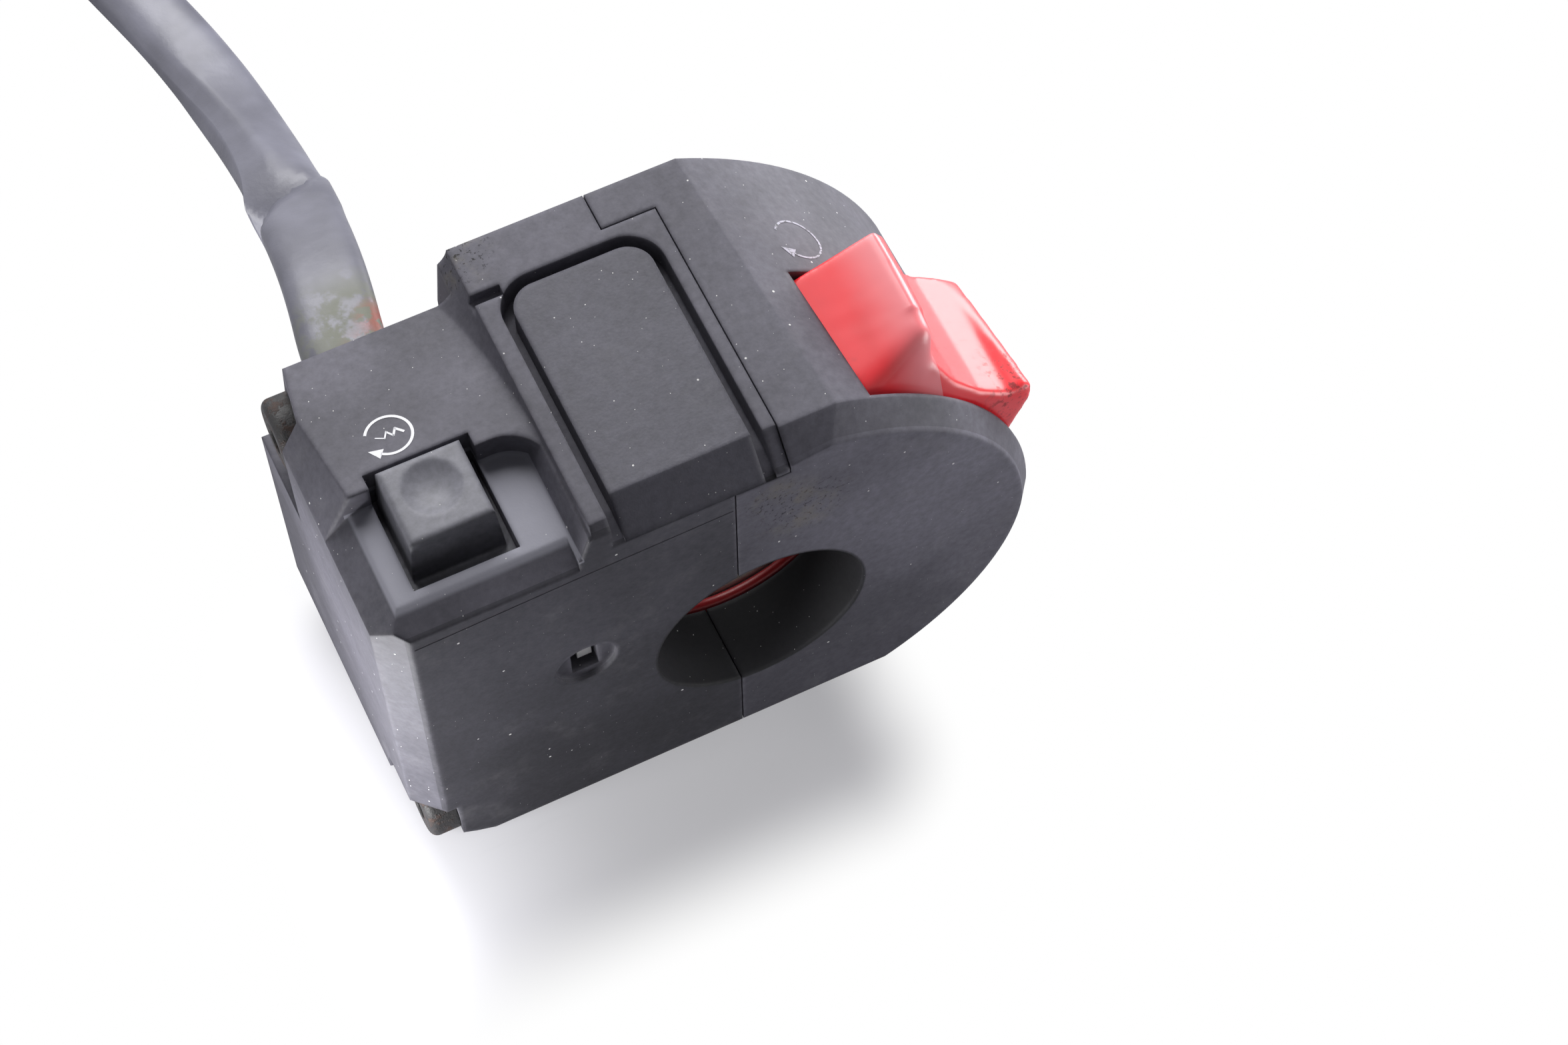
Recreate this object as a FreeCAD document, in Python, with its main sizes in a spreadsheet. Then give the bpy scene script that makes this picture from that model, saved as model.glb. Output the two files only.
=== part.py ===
"""Right-hand handlebar switch housing with a starter button and an engine kill rocker.

Millimetres. The origin is on the axis of the handlebar bore, halfway along it. X runs along the
housing towards the round kill end, Y along the bar away from the rider's hand, Z up.
"""
import FreeCAD, Part
import math
import os
import re
import Sketcher

V = FreeCAD.Vector
doc = FreeCAD.newDocument("handlebar_switch")

# Driving sizes
SIZES = {
    # bar and case
    "bar_radius": 11.15, "half_width": 18.0, "split_x": -2.4, "seam_gap": 0.15,
    "case_left": -37.4, "under_z": -20.5, "top_z": 31.0, "top_far_y": 15.3, "lean_foot_z": 19.0,
    "wall": 2.4, "rib": 8.5, "room_radius": 13.4, "corner_cut": 2.85,
    "under_left_x": "=case_left + 7.4",
    "heel_z": -16.0,
    # starter tier
    "deck_left": "=case_left + 3", "deck_high_z": 29.9, "deck_low_z": 26.9,
    "deck_near_y": "=-half_width + 13.5",
    "deck_far_y": "=half_width - 5.5", "tier_right_x": -17.2, "tier_foot_z": 12.0,
    "tier_foot_y": "=half_width - 2",
    "slope_foot_z": 24.0, "cove_radius": 4.6, "cove_x": -20.7,
    "floor_z": 26.8, "floor_near_y": "=-half_width + 2.9", "floor_right_x": -17.6, "ridge_left_x": -16.3,
    "band_foot_z": 25.1, "band_right_x": -17.9, "pocket_round": 4.3,
    "roof": 2.4, "room_far_y": "=tier_foot_y - 5.8", "room_near_y": "=-half_width + wall",
    "room_right_x": -14.0,
    # blank cover
    "cover_left": -13.35, "cover_right": 0.65, "cover_far_y": 8.5, "crease_y": "=-half_width + 3",
    "cover_foot_y": "=-half_width - 0.25", "cover_foot_z": 27.4, "cover_thick": 3.0, "cover_round": 2.7,
    "groove": 1.2, "rim_strip": 1.3, "cover_seat_gap": 0.1, "clip_thick": 1.4, "clip_wide": 5.0,
    "clip_reach": 4.2,
    # starter button
    "button_left": "=case_left + 6.1", "button_right": -23.1,
    "button_near_y": "=-half_width + 6.4", "button_far_y": "=button_near_y + 8.3",
    "button_top_z": 30.2, "button_flare": 0.5, "button_slot_near": 2.6, "button_slot_side": 0.6,
    "button_slot_far": 0.5, "button_travel": 2.5, "flange_thick": 1.6, "flange_lip": 1.3,
    "flange_gap": 0.2, "stem_half": 3.0, "stem_foot_z": 12.4, "dish_radius": 2.9,
    "dish_depth": 0.8, "spring_radius": 1.9, "spring_wire": 0.5, "spring_turns": 6.0,
    "spring_seat": 5.0, "seat_hole": 2.45,
    "bridge_thick": 0.6, "bridge_half": 5.2, "bridge_wide": 1.6, "contact_gap": 0.1,
    "starter_base_z": 3.0, "starter_base_thick": 2.4, "starter_base_left": "=case_left + 2.8",
    "starter_base_right": -15.4, "starter_base_near": "=room_near_y + 1.2",
    "starter_base_far": "=starter_base_near + 17.8",
    "contact_pin": 0.6, "contact_tail": 3.2, "contact_block": 1.6,
    # small screws of the two switch bases
    "small_shank": 1.2, "small_head": 2.2, "small_head_thick": 1.3, "small_length": 7.0,
    "small_fit": 0.05, "post_radius": 2.6,
    # case screws
    "screw_one_y": "=half_width - 6.5", "screw_one_z": 17.5, "screw_two_y": "=-half_width + 4",
    "screw_two_z": -16.6,
    "screw_one_seat": "=case_left + 3.5", "screw_two_seat": "=case_left + 4", "screw_shank": 2.5,
    "screw_head": 3.75,
    "screw_head_thick": 3.1, "screw_length": "=split_x + 8.5 - screw_one_seat",
    "screw_fit": 0.2, "screw_socket": 1.6,
    "screw_socket_deep": 1.8, "notch_one_y": "=half_width - 12", "notch_one_z": 11.0,
    "notch_two_y": "=-half_width + 8.8",
    "notch_two_z": -12.4, "insert_radius": 3.3, "insert_length": 9.5,
    # window of the near face
    "window_x": -18.3, "window_z": 6.6, "window_disc": 3.15, "window_sink": 0.6,
    "window_wide": 2.8, "window_tall": 4.0, "window_blade": 1.5,
    # kill switch, in the tilted frame of its pivot
    "kill_x": 16.5, "kill_z": 15.3, "kill_tilt": 44.0, "kill_travel": 18.0,
    "slot_radius": 14.4, "slot_near_y": -15.05, "slot_far_y": 0.45, "slot_gap": 0.3,
    "kill_room_half": 8.6, "kill_room_floor": -8.3, "kill_skirt": -3.2,
    "pin_radius": 1.2, "pin_fit": 0.04, "hub_radius": 2.7, "tail_half": 0.9, "tail_foot": -5.3,
    "tail_lever": 4.6, "tail_gap": 0.35,
    "kill_base_top": -6.4, "kill_base_half": 8.0, "slider_half": 4.2, "slider_thick": 1.5,
    "strip_thick": 0.3, "strip_fit": 0.1, "detent_radius": 1.2, "detent_deep": 7.0,
    "plunger_long": 2.6, "detent_across": -6.2, "detent_out": 4.0, "dimple_radius": 1.6,
    "dimple_deep": 0.25, "kill_screw_radius": 0.6, "kill_screw_head": 1.25,
    "kill_screw_head_thick": 0.8, "kill_screw_long": 4.6,
    # leads
    "lead_radius": 0.75, "lead_bore_z": -12.25,
    # harness
    "cable_x": "=case_left + 11.4", "cable_z": 2.0, "cable_dia": 7.0, "grommet_lip": 1.3,
    "grommet_lip_thick": 1.2,
    "grommet_nose": 0.5, "turn_gap": 0.6, "coil_mean": 84.0, "coil_end_radius": 24.0,
    "tie_wide": 5.0, "tie_thick": 0.8,
    "plug_long": 24.0, "plug_wide": 15.0, "plug_tall": 8.6, "plug_wall": 1.3, "plug_round": 0.8,
    "terminal_wide": 2.2, "terminal_thick": 0.8, "terminal_long": 9.0, "terminal_pitch": 3.0,
}
sheet = doc.addObject("Spreadsheet::Sheet", "sizes")
for row, (word, size) in enumerate(SIZES.items(), start=1):
    sheet.set("A%d" % row, word)
    sheet.set("B%d" % row, str(size))
    sheet.setAlias("B%d" % row, word)
doc.recompute()


def linked(text):
    """The same expression with every size's name pointed at the sheet."""
    point = lambda found: "sizes." + found.group(0) if found.group(0) in SIZES else found.group(0)
    return re.sub(r"[a-z][a-z0-9_]*", point, str(text))


def number(text):
    """What an expression on the sheet comes to now."""
    return float(sheet.evalExpression(linked(text)))


def bind(thing, name, text):
    thing.setExpression(name, linked(text))


# Ways to make a solid
def box(name, x, y, z):
    """A block given by a low and a high plane on each axis."""
    block = doc.addObject("Part::Box", name)
    for side, axis, (low, high) in (("Length", "x", x), ("Width", "y", y), ("Height", "z", z)):
        bind(block, side, "(%s) - (%s)" % (high, low))
        bind(block, "Placement.Base." + axis, low)
    return block


ALONG = {"x": FreeCAD.Rotation(V(0, 1, 0), 90), "y": FreeCAD.Rotation(V(1, 0, 0), -90),
         "z": FreeCAD.Rotation()}


def rod(name, axis, radius, foot, length):
    """A cylinder from its foot point along an axis."""
    bar = doc.addObject("Part::Cylinder", name)
    bar.Placement = FreeCAD.Placement(V(0, 0, 0), ALONG[axis])
    bind(bar, "Radius", radius)
    bind(bar, "Height", length)
    for word, text in zip("xyz", foot):
        bind(bar, "Placement.Base." + word, text)
    return bar


def draw(sketch, outline):
    """A closed outline; a point may carry the radius of the arc that leaves it.

    A positive radius has its centre on the left of the way along the outline.
    """
    points = [V(number(p[0]), number(p[1]), 0) for p in outline]
    ends = []
    for index, spot in enumerate(outline):
        start, stop = points[index], points[(index + 1) % len(points)]
        if len(spot) == 2:
            sketch.addGeometry(Part.LineSegment(start, stop), False)
            ends.append((1, 2))
            continue
        radius = number(spot[2])
        chord = stop - start
        half = chord.Length / 2
        side = V(-chord.y, chord.x, 0).normalize() * math.copysign(1, radius)
        centre = (start + stop) * 0.5 + side * math.sqrt(max(radius ** 2 - half ** 2, 0))
        first, last = (start, stop) if radius > 0 else (stop, start)
        angle_one = math.atan2(first.y - centre.y, first.x - centre.x)
        angle_two = math.atan2(last.y - centre.y, last.x - centre.x)
        circle = Part.Circle(centre, V(0, 0, 1), abs(radius))
        sketch.addGeometry(Part.ArcOfCircle(circle, angle_one, angle_two), False)
        ends.append((1, 2) if radius > 0 else (2, 1))
    for index, spot in enumerate(outline):
        after = (index + 1) % len(outline)
        sketch.addConstraint(Sketcher.Constraint("Coincident", index, ends[index][1],
                                                 after, ends[after][0]))
        for kind, text, now in (("DistanceX", spot[0], points[index].x),
                                ("DistanceY", spot[1], points[index].y)):
            held = sketch.addConstraint(Sketcher.Constraint(kind, -1, 1, index,
                                                            ends[index][0], now))
            sketch.setExpression("Constraints[%d]" % held, linked(text))
        if len(spot) == 3:
            radius = abs(number(spot[2]))
            held = sketch.addConstraint(Sketcher.Constraint("Radius", index, radius))
            sketch.setExpression("Constraints[%d]" % held, "abs(%s)" % linked(spot[2]))


FACING = {"x": FreeCAD.Rotation(V(1, 1, 1), 120), "y": FreeCAD.Rotation(V(1, 0, 0), 90),
          "z": FreeCAD.Rotation()}
TOWARDS = {"x": V(1, 0, 0), "y": V(0, 1, 0), "z": V(0, 0, 1)}


def outline_at(name, axis, outline, level):
    """A sketch square to an axis; its own axes are the two others in X, Y, Z order."""
    sketch = doc.addObject("Sketcher::SketchObject", name)
    draw(sketch, outline)
    sketch.Placement = FreeCAD.Placement(V(0, 0, 0), FACING[axis])
    bind(sketch, "Placement.Base." + axis, level)
    return sketch


def prism(name, axis, outline, low, high):
    """An outline drawn out along an axis from one level to another."""
    block = doc.addObject("Part::Extrusion", name)
    block.Base = outline_at(name + "_outline", axis, outline, low)
    block.DirMode = "Custom"
    block.Dir = TOWARDS[axis]
    block.Solid = True
    bind(block, "LengthFwd", "(%s) - (%s)" % (high, low))
    return block


def loft(name, sections):
    skin = doc.addObject("Part::Loft", name)
    skin.Sections = sections
    skin.Solid = True
    skin.Ruled = True
    return skin


def fuse(name, *parts):
    whole = doc.addObject("Part::MultiFuse", name)
    whole.Shapes = list(parts)
    whole.Refine = True
    return whole


def cut(name, base, *tools):
    rest = doc.addObject("Part::Cut", name)
    rest.Base = base
    rest.Tool = tools[0] if len(tools) == 1 else fuse(name + "_tools", *tools)
    rest.Refine = True
    return rest


def common(name, first, second):
    shared = doc.addObject("Part::Common", name)
    shared.Base = first
    shared.Tool = second
    return shared


def rounded(name, base, radius, chosen):
    """Fillets on the edges of a solid that a test picks."""
    doc.recompute()
    edges = [index for index, edge in enumerate(base.Shape.Edges, start=1) if chosen(edge)]
    smooth = doc.addObject("Part::Fillet", name)
    smooth.Base = base
    smooth.Edges = [(index, number(radius), number(radius)) for index in edges]
    return smooth


def lies(edge, axis, level, slack=0.02):
    """Whether both ends of an edge are at one level of an axis."""
    return all(abs(getattr(v.Point, axis) - level) < slack for v in edge.Vertexes)


def along(edge, axis):
    """Whether an edge is straight and runs along an axis."""
    if len(edge.Vertexes) < 2 or edge.Curve.TypeId != "Part::GeomLine":
        return False
    way = edge.Vertexes[1].Point - edge.Vertexes[0].Point
    return abs(way.dot(TOWARDS[axis])) > 0.999 * way.Length


nodes = []


def keep(name, thing):
    """Marks a finished piece of the product and names it."""
    thing.Label = name
    nodes.append(thing)
    return thing


# Part design bodies
PLANE = {"x": "YZ_Plane", "y": "XZ_Plane", "z": "XY_Plane"}


def body(name):
    piece = doc.addObject("PartDesign::Body", name)
    return keep(name, piece)


def sketch_in(piece, name, axis, outline, level):
    """A sketch on one of the body's own planes, moved to a level along its normal."""
    sketch = piece.newObject("Sketcher::SketchObject", name)
    face = [f for f in piece.Origin.OriginFeatures if f.Role == PLANE[axis]][0]
    sketch.AttachmentSupport = [(face, "")]
    sketch.MapMode = "FlatFace"
    bind(sketch, "AttachmentOffset.Base.z", "%s(%s)" % ("-" if axis == "y" else "", level))
    draw(sketch, outline)
    return sketch


def pad(piece, name, axis, outline, low, high):
    start = high if axis == "y" else low
    block = piece.newObject("PartDesign::Pad", name)
    block.Profile = sketch_in(piece, name + "_outline", axis, outline, start)
    bind(block, "Length", "(%s) - (%s)" % (high, low))
    doc.recompute()
    return block


def pocket(piece, name, axis, outline, low, high):
    start = low if axis == "y" else high
    before = piece.Shape.Volume
    hollow = piece.newObject("PartDesign::Pocket", name)
    hollow.Profile = sketch_in(piece, name + "_outline", axis, outline, start)
    bind(hollow, "Length", "(%s) - (%s)" % (high, low))
    doc.recompute()
    if hollow.Shape.Volume > before - 1e-3:
        raise RuntimeError(name + " cuts nothing")
    return hollow


def round_holes(piece, name, spots, radius, low, high_level):
    """Round holes down the Z axis, one sketch and one pocket for them all."""
    before = piece.Shape.Volume
    sketch = piece.newObject("Sketcher::SketchObject", name + "_outline")
    face = [f for f in piece.Origin.OriginFeatures if f.Role == PLANE["z"]][0]
    sketch.AttachmentSupport = [(face, "")]
    sketch.MapMode = "FlatFace"
    bind(sketch, "AttachmentOffset.Base.z", high_level)
    for index, (x, y) in enumerate(spots):
        sketch.addGeometry(Part.Circle(V(number(x), number(y), 0), V(0, 0, 1), number(radius)))
        for kind, text in (("DistanceX", x), ("DistanceY", y)):
            held = sketch.addConstraint(Sketcher.Constraint(kind, -1, 1, index, 3, number(text)))
            sketch.setExpression("Constraints[%d]" % held, linked(text))
        held = sketch.addConstraint(Sketcher.Constraint("Radius", index, number(radius)))
        sketch.setExpression("Constraints[%d]" % held, linked(radius))
    holes = piece.newObject("PartDesign::Pocket", name)
    holes.Profile = sketch
    bind(holes, "Length", "(%s) - (%s)" % (high_level, low))
    doc.recompute()
    if holes.Shape.Volume > before - 1e-3:
        raise RuntimeError(name + " cuts nothing")


def turned(piece, name, outline, axis="H_Axis"):
    """An outline of distance along against distance out, turned round the way along."""
    sketch = sketch_in(piece, name + "_outline", "y", outline, "0")
    spun = piece.newObject("PartDesign::Revolution", name)
    spun.Profile = sketch
    spun.ReferenceAxis = (sketch, [axis])
    spun.Angle = 360
    doc.recompute()
    return spun


def rectangle(x, y):
    """The four corners of a low to high span on two axes."""
    return [(x[0], y[0]), (x[1], y[0]), (x[1], y[1]), (x[0], y[1])]


def tilted(across, out):
    """A point of the kill switch's tilted frame as X and Z of the housing."""
    return ("kill_x + (%s)*cos(kill_tilt) + (%s)*sin(kill_tilt)" % (across, out),
            "kill_z - (%s)*sin(kill_tilt) + (%s)*cos(kill_tilt)" % (across, out))


def tilted_box(across, out):
    return [tilted(a, b) for a, b in rectangle(across, out)]


def tilted_rod(name, radius, across, level, low, length):
    """A cylinder that stands square on the kill switch's tilted base."""
    bar = doc.addObject("Part::Cylinder", name)
    bar.Placement = FreeCAD.Placement(V(0, 0, 0), FreeCAD.Rotation(V(0, 1, 0),
                                                                   number("kill_tilt")))
    bind(bar, "Radius", radius)
    bind(bar, "Height", length)
    foot_x, foot_z = tilted(across, low)
    for word, text in zip("xyz", (foot_x, level, foot_z)):
        bind(bar, "Placement.Base." + word, text)
    return bar


# Wires that follow straight runs and tangent arcs
def at(*texts):
    return V(*[number(text) for text in texts])


def run_path(points, share=0.45):
    """The wire of straight runs and arcs through a route, with its corner radii."""
    edges, radii, here = [], [], points[0]
    for before, corner, after in zip(points, points[1:], points[2:]):
        back, ahead = before - corner, after - corner
        turn = math.pi - back.getAngle(ahead)
        reach = share * min(back.Length, ahead.Length)
        radii.append(reach / math.tan(turn / 2))
        one = corner + back.normalize() * reach
        two = corner + ahead.normalize() * reach
        inward = (one + two) * 0.5 - corner
        depth = radii[-1] / math.cos(turn / 2) - radii[-1]
        edges.append(Part.LineSegment(here, one).toShape())
        edges.append(Part.Arc(one, corner + inward.normalize() * depth, two).toShape())
        here = two
    edges.append(Part.LineSegment(here, points[-1]).toShape())
    return Part.Wire(edges), radii


def tube(wire, radius):
    """A round tube along a wire."""
    first = wire.OrderedEdges[0]
    start = first.valueAt(first.FirstParameter)
    way = first.tangentAt(first.FirstParameter)
    ring = Part.Wire([Part.Circle(start, way, radius).toShape()])
    shell = Part.BRepOffsetAPI.MakePipeShell(wire)
    shell.add(ring)
    shell.build()
    shell.makeSolid()
    return shell.shape()


def feature(name, shape):
    """A piece whose shape is worked out in code from the sheet's sizes."""
    piece = doc.addObject("Part::Feature", name)
    piece.Shape = shape
    return keep(name, piece)


def helix_wire(centre, radius, low, high, turns):
    """A round spring's line as biarcs, a quarter turn each."""
    steps = int(round(turns * 4))
    rise = (high - low) / steps

    def spot(step):
        angle = step * math.pi / 2
        return V(centre.x + radius * math.cos(angle), centre.y + radius * math.sin(angle),
                 low + rise * step)

    def way(step):
        angle = step * math.pi / 2
        return V(-radius * math.sin(angle), radius * math.cos(angle),
                 rise * 2 / math.pi).normalize()

    edges = []
    for step in range(steps):
        edges += biarc(spot(step), way(step), spot(step + 1), way(step + 1))
    return Part.Wire(edges)


def biarc(start, leave, stop, arrive):
    """Two arcs that meet smoothly and have given directions at their ends."""
    gap = stop - start
    lean = gap.dot(leave + arrive)
    spread = 2 * (1 - leave.dot(arrive))
    reach = (-lean + math.sqrt(lean ** 2 + spread * gap.dot(gap))) / spread
    meet = (start + leave * reach + stop - arrive * reach) * 0.5
    arcs = []
    for one, way, two in ((start, leave, meet), (stop, arrive * -1, meet)):
        chord = two - one
        side = chord - way * chord.dot(way)
        side.normalize()
        radius = chord.dot(chord) / (2 * chord.dot(side))
        centre = one + side * radius
        middle = (one + two) * 0.5 - centre
        middle = centre + middle.normalize() * radius
        arcs.append((one, middle, two))
    first = Part.Arc(*arcs[0]).toShape()
    second = Part.Arc(arcs[1][2], arcs[1][1], arcs[1][0]).toShape()
    return [first, second]


# The kill half's outer form: four outlines on planes across the bar, joined by ruled faces
def kill_outline(name, level, left_z, brow, side, foot, brow_radius, side_radius):
    """One outline: brow, then the round of the slope, then the round down to the underside."""
    outline = [("split_x + seam_gap", left_z), brow + (brow_radius,), side + (side_radius,),
               foot, ("split_x + seam_gap", "under_z")]
    return outline_at(name, "y", outline, level)


kill_form = loft("kill_form", [
    kill_outline("near_outline", "-half_width", "top_z - 4", ("7.4", "top_z - 2.3"),
                 ("28.6", "2.0"), ("14.0", "under_z"), "-29.0", "-26.0"),
    kill_outline("body_outline", "-half_width + 2.6", "top_z", ("9.0", "top_z"),
                 ("30.5", "0.5"), ("16.0", "under_z"), "-34.6", "-28.0"),
    kill_outline("brink_outline", "top_far_y", "top_z", ("7.2", "top_z"),
                 ("29.0", "5.0"), ("16.0", "under_z"), "-48.0", "-28.0"),
    kill_outline("far_outline", "half_width", "lean_foot_z", ("8.0", "lean_foot_z"),
                 ("25.8", "2.0"), ("14.0", "under_z"), "-30.0", "-26.0"),
])

# The tongue of the starter half that carries the rim beside the blank cover
tongue_right = "cover_right + groove + rim_strip"
tongue_far = "cover_far_y + groove + rim_strip"
tongue_room = box("tongue_room", ("split_x - 1", tongue_right + " + seam_gap"),
                  ("-half_width - 1", tongue_far + " + seam_gap"),
                  ("cover_foot_z - 0.4 - seam_gap", "top_z + 1"))
bar_bore = rod("bar_bore", "y", "bar_radius", ("0", "-half_width - 1", "0"), "2*half_width + 2")
bar_room = rod("bar_room", "y", "room_radius", ("0", "-half_width + rib", "0"),
               "2*half_width - 2*rib")

kill_slot = common("kill_slot",
                   rod("kill_slot_round", "y", "slot_radius", ("kill_x", "slot_near_y", "kill_z"),
                       "slot_far_y - slot_near_y"),
                   prism("kill_slot_floor", "y",
                         tilted_box(("-slot_radius - 1", "slot_radius + 1"),
                                    ("kill_skirt", "slot_radius + 1")),
                         "slot_near_y - 1", "slot_far_y + 1"))
kill_room = prism("kill_room", "y",
                  tilted_box(("-kill_room_half", "kill_room_half"),
                             ("kill_room_floor", "kill_skirt + 0.5")),
                  "slot_near_y + 0.6", "slot_far_y - 0.2")
pin_bore = rod("pin_bore", "y", "pin_radius", ("kill_x", "slot_near_y - 1.6", "kill_z"),
               "slot_far_y - slot_near_y + 4.2")
lead_hole = rod("lead_hole", "z", "1.9", ("2.6", "-6.5", "room_radius - 2"), "9")
lead_gallery = box("lead_gallery", ("0.9", "9.0"), ("-9.3", "-3.6"), ("16.6", "20.8"))
kill_screw_spots = [("-6.6", "-12.9"), ("6.6", "-12.9")]
kill_screw_holes = [tilted_rod("kill_screw_hole_%d" % n, "kill_screw_radius + small_fit", across,
                               level, "kill_base_top - kill_screw_long - 0.2",
                               "kill_screw_long + 1")
                    for n, (across, level) in enumerate(kill_screw_spots, start=1)]
dimples = []
for n, angle in enumerate(("0", "kill_travel"), start=1):
    dimple = doc.addObject("Part::Sphere", "detent_dimple_%d" % n)
    bind(dimple, "Radius", "dimple_radius")
    dimple_x, dimple_z = tilted(
        "detent_across*cos(%s) - detent_out*sin(%s)" % (angle, angle),
        "detent_across*sin(%s) + detent_out*cos(%s)" % (angle, angle))
    bind(dimple, "Placement.Base.x", dimple_x)
    bind(dimple, "Placement.Base.y", "slot_far_y + dimple_deep - dimple_radius")
    bind(dimple, "Placement.Base.z", dimple_z)
    dimples.append(dimple)
insert_holes = [rod("insert_hole_%d" % n, "x", "insert_radius",
                    ("split_x - 0.5", "screw_%s_y" % word, "screw_%s_z" % word),
                    "insert_length + 1 + seam_gap")
                for n, word in enumerate(("one", "two"), start=1)]
upper_case = keep("upper_case", cut("kill_half", kill_form, bar_bore, bar_room, tongue_room,
                                    kill_slot, kill_room, pin_bore, lead_hole, lead_gallery,
                                    *(insert_holes + kill_screw_holes + dimples)))

# The starter half
slope_rise = "(deck_high_z - slope_foot_z)"
starter_block = prism("starter_block", "y", [
    ("split_x", "under_z"), ("split_x", "top_z"), ("cove_x", "top_z"),
    ("cove_x - 1", "deck_high_z"), ("deck_left", "deck_high_z"), ("case_left", "slope_foot_z"),
    ("case_left", "heel_z"), ("under_left_x - 2", "under_z + 1.0"), ("under_left_x", "under_z")],
    "-half_width", "half_width")
tongue = box("tongue", ("split_x", tongue_right), ("-half_width", tongue_far),
             ("cover_foot_z - 0.4", "top_z"))
high = "top_z + 9"
far_out = "half_width + 5"
brow_lean = prism("brow_lean", "x", [("half_width", "lean_foot_z"), ("top_far_y", "top_z"),
                                     ("top_far_y", high), (far_out, high),
                                     (far_out, "lean_foot_z")],
                  "tier_right_x", "split_x + 1")
tier_lean = prism("tier_lean", "x", [("tier_foot_y", "under_z - 1"),
                                     ("tier_foot_y", "tier_foot_z"),
                                     ("deck_far_y", "deck_low_z"), ("deck_far_y", high),
                                     (far_out, high), (far_out, "under_z - 1")],
                  "case_left - 1", "tier_right_x")
out_left = "case_left - 5"
over_deck = prism("over_deck", "x", [("deck_near_y", "deck_high_z"),
                                     ("deck_far_y", "deck_low_z"), (far_out, "deck_low_z"),
                                     (far_out, high), ("-half_width - 1", high),
                                     ("-half_width - 1", "deck_high_z")],
                  out_left, "ridge_left_x")
cove = prism("cove", "y", [
    (out_left, "top_z - cove_radius"),
    ("ridge_left_x - cove_radius", "top_z - cove_radius", "cove_radius"),
    ("ridge_left_x", "top_z"), ("ridge_left_x", high), (out_left, high)],
    "-half_width - 1", far_out)
deck_cut = common("deck_cut", over_deck, cove)
pocket_plan = prism("pocket_plan", "z", [
    (out_left, "-half_width - 1"), ("ridge_left_x", "-half_width - 1"),
    ("ridge_left_x", "deck_near_y - pocket_round", "pocket_round"),
    ("ridge_left_x - pocket_round", "deck_near_y"), (out_left, "deck_near_y")],
    "floor_z", high)
pocket_side = prism("pocket_side", "y", [
    (out_left, "floor_z"), ("floor_right_x", "floor_z"), ("ridge_left_x", "top_z"),
    ("ridge_left_x", high), (out_left, high)], "-half_width - 1", "deck_near_y + 1")
pocket_cut = common("pocket_cut", pocket_plan, pocket_side)
pocket_slope = prism("pocket_slope", "y", [
    ("case_left", "slope_foot_z"), ("deck_left - 0.1", "floor_z"), ("deck_left - 0.1", high),
    (out_left, high), (out_left, "slope_foot_z")], "-half_width - 1", "deck_near_y")
near_band = prism("near_band", "x", [
    ("-half_width", "band_foot_z"), ("floor_near_y", "floor_z"), ("floor_near_y", high),
    ("-half_width - 2", high), ("-half_width - 2", "band_foot_z")], out_left, "band_right_x")
brow_slope = prism("brow_slope", "x", [
    ("-half_width", "top_z - 1.2"), ("-half_width + 0.9", "top_z"), ("-half_width + 0.9", high),
    ("-half_width - 2", high), ("-half_width - 2", "top_z - 1.2")], "band_right_x - 1",
    "cover_left - groove")
tongue_slope = prism("tongue_slope", "x", [
    ("-half_width", "cover_foot_z + 0.2"), ("crease_y", "top_z"), ("crease_y", high),
    ("-half_width - 2", high), ("-half_width - 2", "cover_foot_z + 0.2")],
    "cover_left - groove", tongue_right + " + 1")
seat_z = "top_z - cover_thick - cover_seat_gap"
cover_plan = prism("cover_plan", "z", [
    ("cover_left - groove", "-half_width - 2"), ("cover_right + groove", "-half_width - 2"),
    ("cover_right + groove", "cover_far_y - cover_round", "cover_round + groove"),
    ("cover_right - cover_round", "cover_far_y + groove"),
    ("cover_left + cover_round", "cover_far_y + groove", "cover_round + groove"),
    ("cover_left - groove", "cover_far_y - cover_round")], "cover_foot_z - 1", high)
cover_recess = prism("cover_recess", "x", [
    ("-half_width - 2", "cover_foot_z - 0.4"), ("-half_width", "cover_foot_z - 0.4"),
    ("crease_y", seat_z), ("cover_far_y + groove", seat_z), ("cover_far_y + groove", high),
    ("-half_width - 2", high)], "cover_left - groove", "cover_right + groove")
cover_seat = common("cover_seat", cover_plan, cover_recess)
far_groove = box("far_groove", ("ridge_left_x - 1", "cover_left"),
                 ("cover_far_y", "cover_far_y + groove"), ("top_z - 1.3", high))
corner_plane = prism("corner_plane", "z", [
    ("case_left - 1", "-half_width + corner_cut + 1"), ("case_left - 1", "-half_width - 1"),
    ("case_left + corner_cut + 1", "-half_width - 1")], "under_z - 1", high)
notch_one = prism("notch_one", "z", [
    (out_left, "notch_one_y"), ("deck_left - 1.0", "notch_one_y"), ("deck_left", "deck_far_y"),
    ("deck_left", far_out), (out_left, far_out)], "notch_one_z", high)
notch_one_seat = rod("notch_one_seat", "x", "screw_head + 0.35",
                     (out_left, "screw_one_y", "screw_one_z"), "screw_one_seat - case_left + 5")
notch_two = prism("notch_two", "x", [
    ("-half_width - 1", "under_z - 1"), ("notch_two_y", "under_z - 1"),
    ("notch_two_y", "notch_two_z - 2", "2"), ("notch_two_y - 2", "notch_two_z"),
    ("-half_width - 1", "notch_two_z")], out_left, "screw_two_seat")
button_slot = box("button_slot",
                  ("button_left - button_flare - button_slot_side",
                   "button_right + button_flare + button_slot_side"),
                  ("button_near_y - button_slot_near", "button_far_y + button_slot_far"),
                  ("floor_z - roof - 1", high))
room_top = "(floor_z - roof)"
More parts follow.
